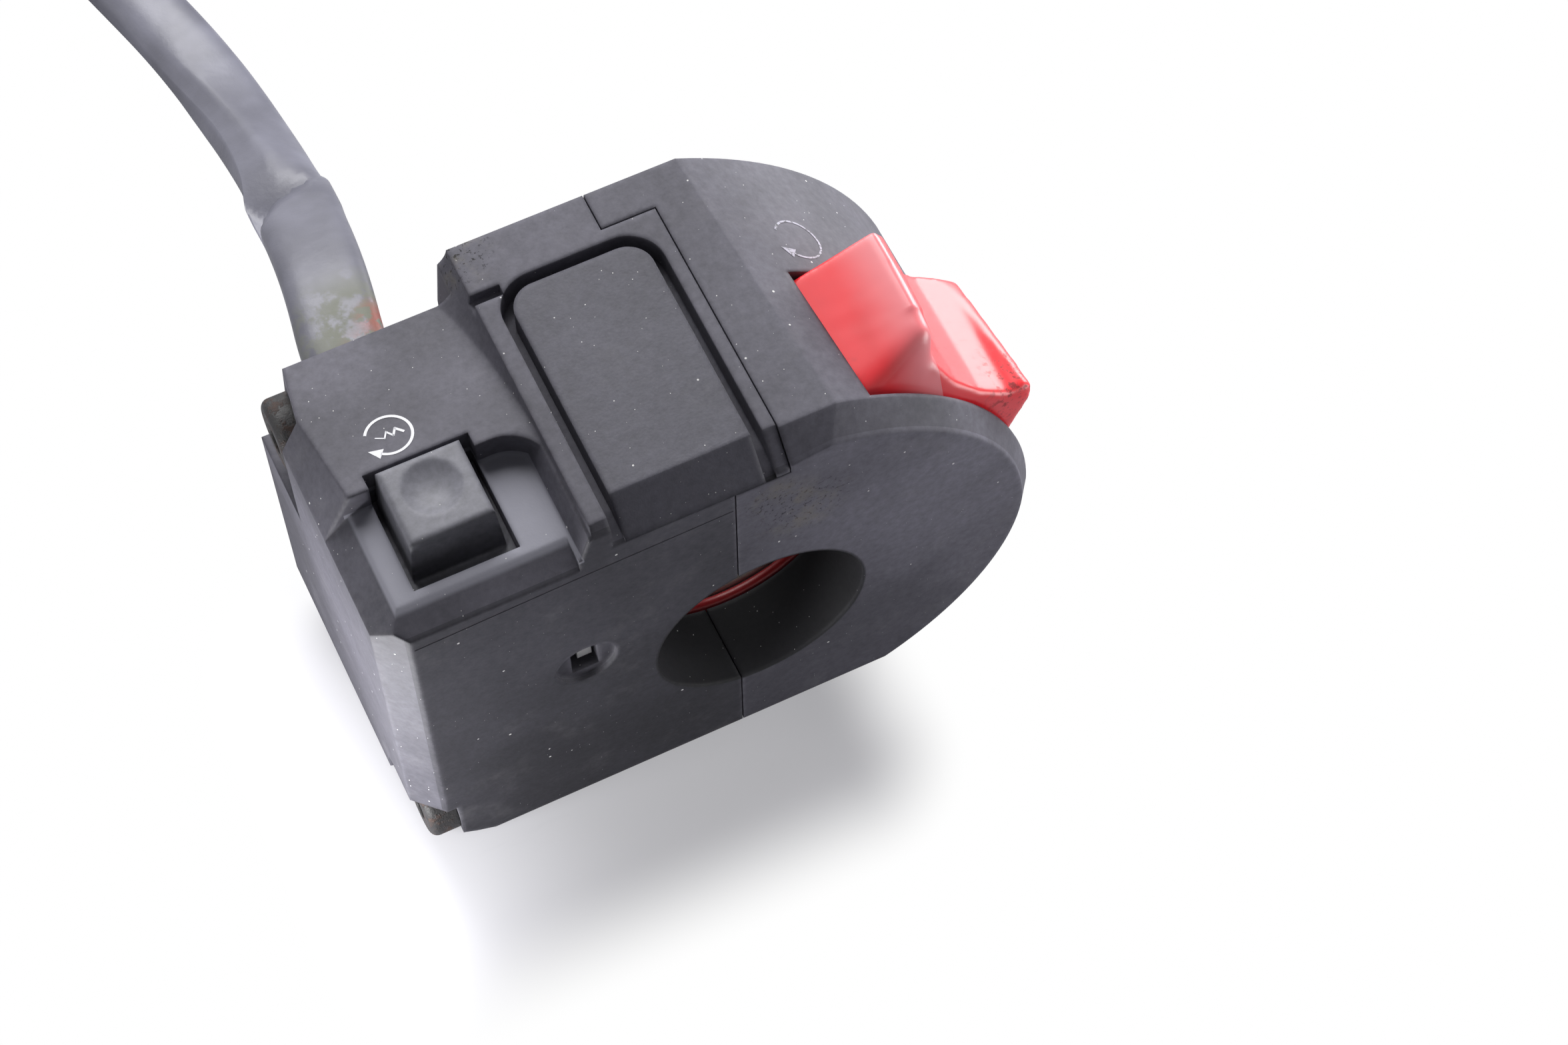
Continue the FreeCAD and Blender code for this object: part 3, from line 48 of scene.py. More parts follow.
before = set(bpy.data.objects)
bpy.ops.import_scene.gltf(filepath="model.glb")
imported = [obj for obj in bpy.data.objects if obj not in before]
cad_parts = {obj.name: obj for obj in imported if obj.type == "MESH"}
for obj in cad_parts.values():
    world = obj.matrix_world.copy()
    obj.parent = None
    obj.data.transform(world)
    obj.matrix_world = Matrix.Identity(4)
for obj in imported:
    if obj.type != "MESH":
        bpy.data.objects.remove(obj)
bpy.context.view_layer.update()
MM = 0.001
UNDERSIDE = -20.5

# The kill rocker's own frame: pivot, and the tilt of its base, as in the solids
PIVOT = (16.5, 15.3)
TILT = math.radians(44.0)
TILTED = Matrix((
    (math.cos(TILT), 0, math.sin(TILT), PIVOT[0]),
    (0, 1, 0, 0),
    (-math.sin(TILT), 0, math.cos(TILT), PIVOT[1]),
    (0, 0, 0, 1)))

# The leads inside the housing: colour, and route from corner to corner
LEADS = {
    "wire_red": ((0.5, 0.02, 0.025), [
        (9.1, -4.3, 15.1), (6.2, -5.2, 17.9), (4.9, -7.2, 17.7), (2.6, -7.4, 17.0),
        (2.6, -7.4, 12.3), (11.1, -7.7, 7.2), (13.0, -8.3, -2.8), (7.2, -8.6, -11.1),
        (-2.8, -8.6, -13.0), (-10.5, -8.3, -6.7), (-15.0, -7.4, -5.7), (-18.6, -6.1, -6.1),
        (-22.2, -2.6, -3.7), (-24.7, 1.0, 0.8), (-24.9, 6.3, 3.0), (-24.9, 10.8, 3.0)]),
    # The second corner stands twice, so that the line keeps close to it under the slider
    "wire_white": ((0.62, 0.6, 0.54), [
        (17.4, -4.3, 7.0), (17.4, -1.7, 7.0), (17.4, -1.7, 7.0), (9.5, -1.7, 15.9),
        (8.9, -4.4, 18.3), (4.9, -5.3, 19.9), (2.6, -5.5, 17.0), (2.6, -5.5, 12.3),
        (11.1, -5.8, 7.2), (13.0, -6.6, -2.8), (7.2, -6.9, -11.1), (-2.8, -6.9, -13.0),
        (-10.5, -6.6, -6.7), (-15.0, -5.7, -7.3), (-18.6, -4.4, -7.9), (-22.2, -0.9, -5.5),
        (-24.7, 1.0, -1.6), (-24.9, 6.3, 0.9), (-24.9, 10.8, 0.9)]),
    "wire_black": ((0.03, 0.03, 0.033), [
        (-31.4, -7.4, -0.3), (-31.4, -7.4, -3.1), (-29.0, -4.3, -3.5), (-27.4, 1.2, -2.0),
        (-27.1, 6.8, 0.9), (-27.1, 10.8, 0.9)]),
    "wire_yellow": ((0.65, 0.42, 0.05), [
        (-23.0, -7.4, -0.3), (-23.0, -7.4, -3.1), (-26.8, -4.3, -2.3), (-27.0, 1.2, 0.4),
        (-27.1, 6.8, 3.0), (-27.1, 10.8, 3.0)]),
}
LEAD_RADIUS = 0.75

# The harness: its free stretch, then a coil of corners COIL_STEP degrees apart, and its inner end
SLEEVE = [
    (-26.0, 10.95, 2.0), (-26.0, 23.8, 2.0), (-23.4, 37.5, 0.4), (-22.1, 53.5, -7.4),
    (-21.9, 68.0, -15.0), (-23.6, 82.5, -17.0), (-27.6, 97.0, -17.0), (-31.6, 110.0, -16.2)]
COIL_CENTRE = (9.65, 139.6)
COIL_LEVEL = -16.2
COIL_FIRST, COIL_LAST, COIL_STEP = 195.6, -434.4, 30.0
COIL_REACH = 47.7
COIL_PITCH = 7.6
INNER_CENTRE = (14.27, 130.11)
INNER_REACH = 24.0
INNER_ANGLES = (-100, -130, -160)
HARNESS_END = (-10.3, 134.72, -16.2)
# Share of a corner's reach at which the spline passes inside it
SPLINE_SHARE = 0.966

# The camera that fits the photograph: its right, down and forward directions, and its place
CAMERA_AXES = (
    (0.9005154993, -0.4348031530, -0.0042489598),
    (-0.3842122047, -0.7910857831, -0.4759876737),
    (0.2035996496, 0.4302667799, -0.8794416870))
CAMERA_PLACE = (-63.4, -157.3, 302.6)

# Each lamp's place, the point that it faces, the length of its sides, and its watts
LAMPS = {
    "key": ((70, 330, 360), (0, 0, 10), 380, 3.2),
    "left": ((-420, 60, 120), (-30, 0, 5), 300, 0.2),
    "low": ((-63, -25, -3), (-37, -14, 0), 24, 0.039),
    "right": ((150, -85, 2), (28, -18, 0), 90, 0.16),
    "glow": ((182, 86, 2), (22, -5, 22), 120, 0.36),
}

# The floor: half its side, its gap under the part, and the box round which it keeps the shadow
FLOOR_HALF = 1600
FLOOR_GAP = 0.02
SHADOW_CENTRE, SHADOW_HALVES = (-17, -10, UNDERSIDE), (21, 16, 10)
SHADOW_FADE = (1, 14)
# Where a shadow is painted into the floor's colour at the left front, and how far it reaches
PAINTED_SHADOW_SPOT = ((-31.0, -24.0, UNDERSIDE), 34.0)

# Where the case's colour changes: painted shade at the foot and in the bore, painted light and
# shade on the near face, a painted sheen on the pocket floor, and grimy spots
UNDERSIDE_SHADE_RISE = (-20, 25)
NEAR_FACE = -17.6
NEAR_FACE_SHADE_RUN = (0, 14)
BORE_RIM = (11.2, 11.5)
POCKET_LOW, POCKET_HIGH = (26.3, 26.6), (26.95, 27.2)
POCKET_LEFT, POCKET_RIGHT, POCKET_FAR = -35.2, -17.4, 1.0
GRIME_SPOTS = [((-15.5, 14.5, 30.5), 5.0), ((4.6, -18.0, 19.5), 6.5), ((1.6, -18.0, 23.0), 4.5)]

# Where the sleeve is stained, and where it grows paler towards the coil
GREEN_STAIN = ((-22.8, 28.0, 4.0), 10.0)
RED_STAINS = [((-21.6, 23.0, 2.0), 6.5), ((-20.6, 28.0, 2.0), 4.0)]
SLEEVE_PALER = (32, 55)

# Where the rocker is scuffed and dirty, and where along X a pale highlight is painted on it and
# ends
SCUFFED_TIP = ((29.8, -13.2, 17.0), 6.0)
DIRTY_CORNER = ((10.5, -11.5, 27.6), 4.0)
PAINTED_HIGHLIGHT_RUN, PAINTED_HIGHLIGHT_END = (15.0, 20.4), 20.8

# Dirt, wear and print, and the colours of painted shade, sheen, highlight and shadow
DUST_FILM, DUST_SPECK = (0.42, 0.41, 0.43), (0.85, 0.84, 0.83)
# The first colour here is painted shade, the near black inside the bore
BORE_PAINTED_SHADE, CRUMBS, STAIN = (0.004, 0.004, 0.004), (0.012, 0.011, 0.009), (0.24, 0.215, 0.16)
# Painted sheen that makes the pocket floor paler
POCKET_PAINTED_SHEEN = (0.33, 0.33, 0.385)
TARNISH = (0.2, 0.14, 0.08)
SCREW_BLACK, SCREW_RUST = (0.022, 0.021, 0.022), (0.06, 0.032, 0.024)
SCREW_CRUST = (0.06, 0.056, 0.052)
MOSS, BRICK, GREY_SPECK = (0.16, 0.168, 0.115), (0.3, 0.065, 0.05), (0.5, 0.5, 0.5)
# The first colour here is a pale painted highlight on the rocker's saddle
PAINTED_HIGHLIGHT_PINK, SCUFF, OLD_DIRT = (0.95, 0.42, 0.46), (0.06, 0.012, 0.012), (0.25, 0.02, 0.02)
PINK_SPECK = (0.8, 0.55, 0.55)
BARE_CASE = (0.08, 0.08, 0.09)
# The middle colour here is a painted shadow on the floor
FLOOR_MARK, FLOOR_PAINTED_SHADOW, FLOOR_BOUNCE = (0.6, 0.6, 0.63), (0.2, 0.2, 0.22), (0.42, 0.42, 0.45)


def metres(values):
    """Millimetres as metres."""
    return tuple(value * MM for value in values)


def put(socket, value, links):
    """Gives a socket a number, a colour or another node's output."""
    if isinstance(value, Value):
        links.new(value.socket, socket)
    elif hasattr(value, "__len__") and len(value) == 3 and len(socket.default_value) == 4:
        socket.default_value = (*value, 1.0)
    else:
        socket.default_value = value


class Value:
    """One output of a tree; sums on values add the tree's Math nodes."""

    def __init__(self, tree, socket):
        self.tree, self.socket = tree, socket

    def maths(self, operation, *others):
        return self.tree.node("Math", {"operation": operation}, dict(enumerate(others)))[0]

    def __add__(self, other):
        return self.maths("ADD", self, other)

    def __radd__(self, other):
        return self.maths("ADD", other, self)

    def __sub__(self, other):
        return self.maths("SUBTRACT", self, other)

    def __rsub__(self, other):
        return self.maths("SUBTRACT", other, self)

    def __mul__(self, other):
        return self.maths("MULTIPLY", self, other)

    def __rmul__(self, other):
        return self.maths("MULTIPLY", other, self)

    def __lt__(self, other):
        return self.maths("LESS_THAN", self, other)

    def __gt__(self, other):
        return self.maths("GREATER_THAN", self, other)

    def at_least(self, other):
        return self.maths("MAXIMUM", self, other)


class Outputs:
    """A node's outputs by name or number."""

    def __init__(self, tree, node):
        self.tree, self.node = tree, node

    def __getitem__(self, key):
        return Value(self.tree, self.node.outputs[key])


class Tree:
    """A node tree; every node comes from one method."""

    def __init__(self, tree, prefix):
        self.tree, self.prefix = tree, prefix
        tree.nodes.clear()

    def node(self, kind, settings=None, sockets=None):
        """A node of a type, its settings first and then its sockets' values or links."""
        node = self.tree.nodes.new(self.prefix + kind)
        for name, value in (settings or {}).items():
            setattr(node, name, value)
        for name, value in (sockets or {}).items():
            put(node.inputs[name], value, self.tree.links)
        return Outputs(self, node)


class Recipe(Tree):
    """The shader tree of a material or of the world."""

    def __init__(self, owner):
        owner.use_nodes = True
        self.owner = owner
        super().__init__(owner.node_tree, "ShaderNode")

    def place(self, scale=(1, 1, 1), turn=(0, 0, 0)):
        """Object coordinates, turned and stretched."""
        where = self.node("TexCoord")["Object"]
        return self.node("Mapping", None, {
            "Vector": where, "Scale": scale, "Rotation": turn})["Vector"]

    def parts(self, where):
        """The X, Y and Z of a place."""
        return self.node("SeparateXYZ", None, {0: where})

    def vector(self, operation, *operands):
        """A sum on places or directions."""
        return self.node("VectorMath", {"operation": operation}, dict(enumerate(operands)))

    def scaled(self, colour, factor):
        """A colour made darker or lighter."""
        return self.node("VectorMath", {"operation": "SCALE"}, {
            0: colour, "Scale": factor})["Vector"]

    def noise(self, where, size_mm, detail=2.0, roughness=0.5):
        """Cloudy variation from 0 to 1 with features of about that size."""
        return self.node("TexNoise", None, {
            "Vector": where, "Scale": 1 / (size_mm * MM), "Detail": detail,
            "Roughness": roughness})["Fac"]

    def step(self, value, low, high, start=0.0, stop=1.0):
        """A soft step from start to stop as the value goes from low to high."""
        return self.node("MapRange", {"interpolation_type": "SMOOTHSTEP"}, {
            "Value": value, "From Min": low, "From Max": high, "To Min": start,
            "To Max": stop})["Result"]

    def mix(self, share, first, second):
        """A colour between two."""
        return self.node("Mix", {"data_type": "RGBA"}, {0: share, 6: first, 7: second})[2]

    def layers(self, base, *coats):
        """A colour under coats, each of which is a share and a colour."""
        for share, colour in coats:
            base = self.mix(share, base, colour)
        return base

    def near(self, where, spot_mm, reach_mm):
        """1 within a quarter of the reach of a spot, and 0 past the reach."""
        apart = self.vector("DISTANCE", where, metres(spot_mm))["Value"]
        return 1 - self.step(apart, *metres((0.25 * reach_mm, reach_mm)))

    def specks(self, where, cell_mm, radius_mm, share):
        """Small round specks, in a share of the cells."""
        cells = self.node("TexVoronoi", None, {"Vector": where, "Scale": 1 / (cell_mm * MM)})
        pick = self.node("SeparateColor", None, {0: cells["Color"]})
        size = pick[1] * 0.7 + 0.3
        return (cells["Distance"] < size * (radius_mm / cell_mm)) * (pick[0] < share)

    def soft_normal(self, radius_mm):
        """Normals that run round the edges of a mesh, and where they do."""
        smooth = self.node("Bevel", {"samples": 6}, {"Radius": radius_mm * MM})["Normal"]
        flat = self.node("NewGeometry")["Normal"]
        turned = self.vector("DOT_PRODUCT", smooth, flat)["Value"]
        return smooth, self.step(turned, 0.995, 0.8)

    def bump(self, height, depth_mm, strength, normal=None):
        sockets = {"Height": height, "Distance": depth_mm * MM, "Strength": strength}
        if normal is not None:
            sockets["Normal"] = normal
        return self.node("Bump", None, sockets)["Normal"]

    def finish(self, shader):
        self.node("OutputMaterial", None, {"Surface": shader})
        return self.owner


def new_material(name):
    return Recipe(bpy.data.materials.new(name))


def principled(recipe, colour, roughness, normal=None, **more):
    """The surface shader from what varies and from plain numbers."""
    sockets = {"Base Color": colour, "Roughness": roughness}
    if normal is not None:
        sockets["Normal"] = normal
    sockets.update({name.replace("_", " "): value for name, value in more.items()})
    return recipe.finish(recipe.node("BsdfPrincipled", None, sockets)["BSDF"])


def moulded_plastic(name, colour, grain=0.5, cloud=0.22, dust=0.5, edge=0.35, rough=0.62,
                    grime_and_bore_shade=False, foot=1.0, pocket=False, side=0.0):
    """Matt textured housing plastic with dust specks, grimy spots and painted shade in the bore
    where asked, and edges made lighter, partly by edge wear and partly as a painted edge
    highlight.

    foot paints shade that darkens it towards the underside, side paints shade on its near face
    when it is below 0 and light when it is above 0, and pocket paints a sheen that makes the
    floor of the starter button's pocket paler.
    """
    r = new_material(name)
    where = r.place()
    spot = r.parts(where)
    mottle = r.noise(where, 0.9, detail=4.0, roughness=0.65)
    fine = r.noise(where, 0.28)
    smooth, rim = r.soft_normal(0.75)
    cloudy = r.step(r.noise(where, 14.0, detail=3.0), 0.3, 0.7, 1.0 - cloud, 1.0 + cloud)
    # The cloud and mottle are the plastic's own tone; painted shade and light are multiplied in
    # below
    tone_and_painted_light = cloudy * (mottle * 0.9 + 0.55)
    # Painted shade: darker towards the underside
    if foot < 1.0:
        tone_and_painted_light = tone_and_painted_light * r.step(spot["Z"], *metres(UNDERSIDE_SHADE_RISE), foot, 1.0)
    # Painted shade on the near face where side is below 0; painted light growing towards +X where
    # it is above 0
    if side:
        shade = r.step(spot["X"], *metres(NEAR_FACE_SHADE_RUN), min(side, 0.0), side)
        tone_and_painted_light = tone_and_painted_light * ((spot["Y"] < NEAR_FACE * MM) * shade + 1.0)
    # Edges made lighter: partly edge wear, partly a painted edge highlight
    edge_wear_and_highlight = tuple(min(1.0, c * 1.9 + 0.01) for c in colour)
    film = r.step(r.noise(where, 5.0, detail=5.0, roughness=0.7), 0.5, 0.8)
    base = r.layers(r.scaled(colour, tone_and_painted_light),
                    (rim * r.step(mottle, 0.35, 0.7, 0.25, 1.0) * edge, edge_wear_and_highlight),
                    (film * (0.14 * dust), DUST_FILM))
    rough_now = (fine - 0.5) * 0.12 + rough + film * 0.08
    # Painted sheen: the floor of the pocket made paler
    if pocket:
        level = (r.step(spot["Z"], *metres(POCKET_LOW))
                 * r.step(spot["Z"], *metres(POCKET_HIGH), 1.0, 0.0))
        within = ((spot["X"] > POCKET_LEFT * MM) * (spot["X"] < POCKET_RIGHT * MM)
                  * (spot["Y"] < POCKET_FAR * MM))
        base = r.mix(level * within * 0.8, base, POCKET_PAINTED_SHEEN)
    if grime_and_bore_shade:
        from_axis = r.vector("LENGTH", r.place((1, 0, 1)))["Value"]
        spread = 0.0
        for place, reach in GRIME_SPOTS:
            spread = r.near(where, place, reach).at_least(spread)
        crumbs = r.step(r.noise(where, 0.5, detail=3.0, roughness=0.7), 0.57, 0.62) * spread
        stain = r.step(r.noise(where, 2.4, detail=4.0, roughness=0.6), 0.45, 0.7) * spread
        # Painted shade makes the inside of the bore near black; the crumbs and the stain are dirt
        base = r.layers(base, (r.step(from_axis, *metres(BORE_RIM), 0.8, 0.0), BORE_PAINTED_SHADE),
                        (crumbs * 0.8, CRUMBS), (stain * 0.35, STAIN))
        rough_now = rough_now + crumbs * 0.2
    large, small = (r.specks(where, cell, radius, 0.5 * dust)
                    for cell, radius in ((1.8, 0.13), (0.7, 0.065)))
    pale = large.at_least(small)
    height = fine * (0.6 * grain) + mottle * grain + pale * 0.5
    return principled(r, r.mix(pale * 0.85, base, DUST_SPECK), rough_now,
                      r.bump(height, 0.06, 0.5, smooth), Specular_IOR_Level=0.32)


def plain_metal(name, colour, rough, age=0.3):
    """Worked metal with a little tarnish and fine scratches."""
    r = new_material(name)
    smooth, _ = r.soft_normal(0.12)
    cloud = r.step(r.noise(r.place(), 1.6, detail=4.0, roughness=0.6), 0.4, 0.75)
    lines = r.noise(r.place((1.0, 9.0, 1.0)), 0.5)
    return principled(r, r.mix(cloud * age, colour, TARNISH),
                      lines * 0.15 + (rough - 0.07) + cloud * 0.15,
                      r.bump(lines, 0.01, 0.4, smooth), Metallic=1.0)


def rusty_black(name):
    """Black screw metal, dirty and rusted in patches."""
    r = new_material(name)
    where = r.place()
    smooth, _ = r.soft_normal(0.3)
    patch = r.step(r.noise(where, 1.3, detail=5.0, roughness=0.7), 0.48, 0.62)
    crust = r.noise(where, 0.35, detail=4.0, roughness=0.7)
    base = r.layers(SCREW_BLACK, (patch * 0.6, SCREW_RUST),
                    (r.step(crust, 0.6, 0.75) * 0.5, SCREW_CRUST))
    return principled(r, base, patch * 0.25 + 0.5,
                      r.bump(crust + patch * 0.6, 0.12, 0.8, smooth), Metallic=0.15)


def soft_sheath(name, colour, rough=0.42, stained=False):
    """Flexible vinyl: waxy, with faint wrinkles, and stained near the housing where asked."""
    r = new_material(name)
    where = r.place()
    wrinkle = r.noise(where, 1.6, detail=4.0, roughness=0.6)
    base = r.scaled(colour, r.step(r.noise(where, 9.0, detail=3.0), 0.3, 0.7, 0.8, 1.25))
    rough_now = (wrinkle - 0.5) * 0.18 + rough
    if stained:
        base = r.scaled(base, r.step(r.parts(where)["Y"], *metres(SLEEVE_PALER), 0.95, 1.35))
        green = r.step(r.noise(where, 3.2, detail=5.0, roughness=0.65), 0.4, 0.52) * r.near(
            where, *GREEN_STAIN)
        first, second = (r.near(where, *stain) for stain in RED_STAINS)
        red = r.step(r.noise(where, 2.1, detail=4.0, roughness=0.6), 0.38, 0.46)
        base = r.layers(base, (green * 0.75, MOSS),
                        (red * first.at_least(second) * 0.85, BRICK))
        rough_now = rough_now + green * 0.25
    base = r.mix(r.specks(where, 3.4, 0.12, 0.3) * 0.6, base, GREY_SPECK)
    return principled(r, base, rough_now, r.bump(wrinkle, 0.12, 0.55), Coat_Weight=0.12,
                      Coat_Roughness=0.3)


def glossy_red(name, colour):
    """Glossy signal red with hair scratches, a painted highlight on the saddle and a scuffed,
    dirty tip.
    """
    r = new_material(name)
    where = r.place()
    across = r.parts(where)["X"]
    deep = tuple(c * 0.85 for c in colour)
    hair = r.step(r.noise(r.place((1.0, 14.0, 1.0), (0.2, 0.3, 0.5)), 2.2), 0.66, 0.72)
    scuff = r.step(r.noise(where, 0.9, detail=4.0, roughness=0.7), 0.5, 0.62) * r.near(
        where, *SCUFFED_TIP)
    dirt = r.near(where, *DIRTY_CORNER) * r.step(r.noise(where, 1.1, detail=3.0), 0.5, 0.7)
    # Painted highlight: the saddle made pale pink
    painted_highlight = r.step(across, *metres(PAINTED_HIGHLIGHT_RUN)) * (across < PAINTED_HIGHLIGHT_END * MM)
    base = r.layers(r.mix(r.step(r.noise(where, 6.0), 0.2, 0.6), deep, colour),
                    (painted_highlight * 0.5, PAINTED_HIGHLIGHT_PINK), (scuff * 0.75, SCUFF), (dirt * 0.5, OLD_DIRT),
                    (r.specks(where, 3.0, 0.08, 0.25) * 0.6, PINK_SPECK))
    return principled(r, base, hair * 0.1 + scuff * 0.4 + 0.34,
                      r.bump(r.noise(where, 3.5), 0.1, 0.25), Coat_Weight=0.25,
                      Coat_Roughness=0.2, Specular_IOR_Level=0.5)


def worn_paint(name, wear, colour):
    """A printed symbol's paint, worn through in places."""
    r = new_material(name)
    kept = r.step(r.noise(r.place(), 0.5, detail=4.0, roughness=0.7), wear - 0.06, wear + 0.06)
    return principled(r, r.mix(kept, BARE_CASE, colour), kept * 0.05 + 0.6)


def dress(material, *nodes):
    """Gives CAD nodes their material."""
    for node in nodes:
        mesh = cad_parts[node].data
        mesh.materials.clear()
        mesh.materials.append(material)


def linked(name, data):
    """A new object in the scene."""
    thing = bpy.data.objects.new(name, data)
    bpy.context.scene.collection.objects.link(thing)
    return thing


def shown(name, mesh, body, material):
    """Adds a finished mesh to the scene and lets it ride on a body."""
    piece = linked(name, mesh)
    mesh.materials.clear()
    mesh.materials.append(material)
    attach(piece, body)
    return piece


def mesh_of(bm, name):
    mesh = bpy.data.meshes.new(name)
    bm.to_mesh(mesh)
    bm.free()
    return mesh


def made_plain(thing):
    """A plain mesh of an object, with its modifiers applied."""
    depsgraph = bpy.context.evaluated_depsgraph_get()
    return bpy.data.meshes.new_from_object(thing.evaluated_get(depsgraph))


def shade_smooth(mesh):
    for polygon in mesh.polygons:
        polygon.use_smooth = True


def tube_faces(bm, rings):
    """Joins rings of points, in order, into a closed form with flat ends."""
    count = len(rings[0])
    for one, two in zip(rings, rings[1:]):
        for k in range(count):
            bm.faces.new((one[k], one[(k + 1) % count], two[(k + 1) % count], two[k]))
    bm.faces.new(reversed(rings[0]))
    bm.faces.new(rings[-1])


def smooth_curve(name, points, radius=0.0):
    """A quadratic NURBS line through a route's corners, in millimetres."""
    data = bpy.data.curves.new(name, "CURVE")
    data.dimensions = "3D"
    line = data.splines.new("NURBS")
    line.points.add(len(points) - 1)
    for spot, corner in zip(line.points, points):
        spot.co = (*metres(corner), 1.0)
    line.order_u = 3
    line.use_endpoint_u = True
    data.resolution_u = 8
    if radius:
        data.bevel_depth = radius * MM
        data.bevel_resolution = 3
        data.use_fill_caps = True
    return linked(name, data)


def line_of(curve):
    """The points of the line of a curve with no bevel."""
    mesh = made_plain(curve)
    points = [tuple(v.co) for v in mesh.vertices]
    bpy.data.meshes.remove(mesh)
    return points


def harness_route():
    """The harness from the gland to its plug: the free stretch, the coil and its inner end."""

    def corner(centre, reach, degrees):
        turn, far = math.radians(degrees), reach / SPLINE_SHARE
        return (centre[0] + far * math.cos(turn), centre[1] + far * math.sin(turn), COIL_LEVEL)

    steps = range(round((COIL_FIRST - COIL_LAST) / COIL_STEP) + 1)
    coil = [corner(COIL_CENTRE, COIL_REACH - COIL_PITCH * k * COIL_STEP / 360,
                   COIL_FIRST - COIL_STEP * k) for k in steps]
    inner = [corner(INNER_CENTRE, INNER_REACH, degrees) for degrees in INNER_ANGLES]
    return [*SLEEVE, *coil, *inner, HARNESS_END]


def colour_field(name, about, default):
    """A colour that can be changed in the sidebar."""
    return bpy.props.FloatVectorProperty(
        name=name, description=about, subtype="COLOR", default=default)


def length_field(name, about, default, **limits):
    """A length in metres that can be changed in the sidebar."""
    return bpy.props.FloatProperty(
        name=name, description=about, default=default, unit="LENGTH", precision=5, **limits)


class CaseLooks(bpy.types.PropertyGroup):
    """Finish of the two case halves and of the blank cover."""

    colour: colour_field("Colour", "Base colour of the case halves", (0.104, 0.101, 0.124))
    cover_colour: colour_field("Cover colour", "Base colour of the blank cover",
                               (0.074, 0.072, 0.091))
    dust: bpy.props.FloatProperty(
        name="Dust", description="Share of pale dust specks", default=0.8, min=0.0, max=1.0,
        subtype="FACTOR")


class RockerLooks(bpy.types.PropertyGroup):
    """Shape and colour of the kill rocker."""

    colour: colour_field("Colour", "Signal red of the rocker", (0.92, 0.022, 0.034))
    grid: length_field("Grid", "Size of the faces from which the rims are rounded", 0.25 * MM,
                       min=0.15 * MM, max=0.6 * MM)
    rim_passes: bpy.props.IntProperty(
        name="Rim passes", description="How far all upper rims are rounded", default=9, min=0)
    corner_passes: bpy.props.IntProperty(
        name="Corner passes", description="How far the near left corner is rounded", default=60,
        min=0)


class HarnessLooks(bpy.types.PropertyGroup):
    """The sleeved harness."""

    length: length_field("Length", "Length of the sleeved harness", 0.62)
    width: length_field("Width", "Wider side of the flattened sleeve", 9.0 * MM)
    thickness: length_field("Thickness", "Narrower side of the flattened sleeve", 5.0 * MM)
    pinch: length_field("Pinch", "Depth of the fold in the free stretch", 2.0 * MM)


class SymbolLooks(bpy.types.PropertyGroup):
    """The two printed symbols."""

    radius: length_field("Radius", "Radius of the round arrow", 2.2 * MM)
    stroke: length_field("Stroke", "Width of the printed line", 0.28 * MM)


class StageLooks(bpy.types.PropertyGroup):
    """Camera and floor."""

    lens: bpy.props.FloatProperty(
        name="Lens", description="Focal length of the camera", default=79.6, unit="CAMERA")
    floor_colour: colour_field("Floor colour", "Colour of the pale floor", (0.86, 0.855, 0.9))


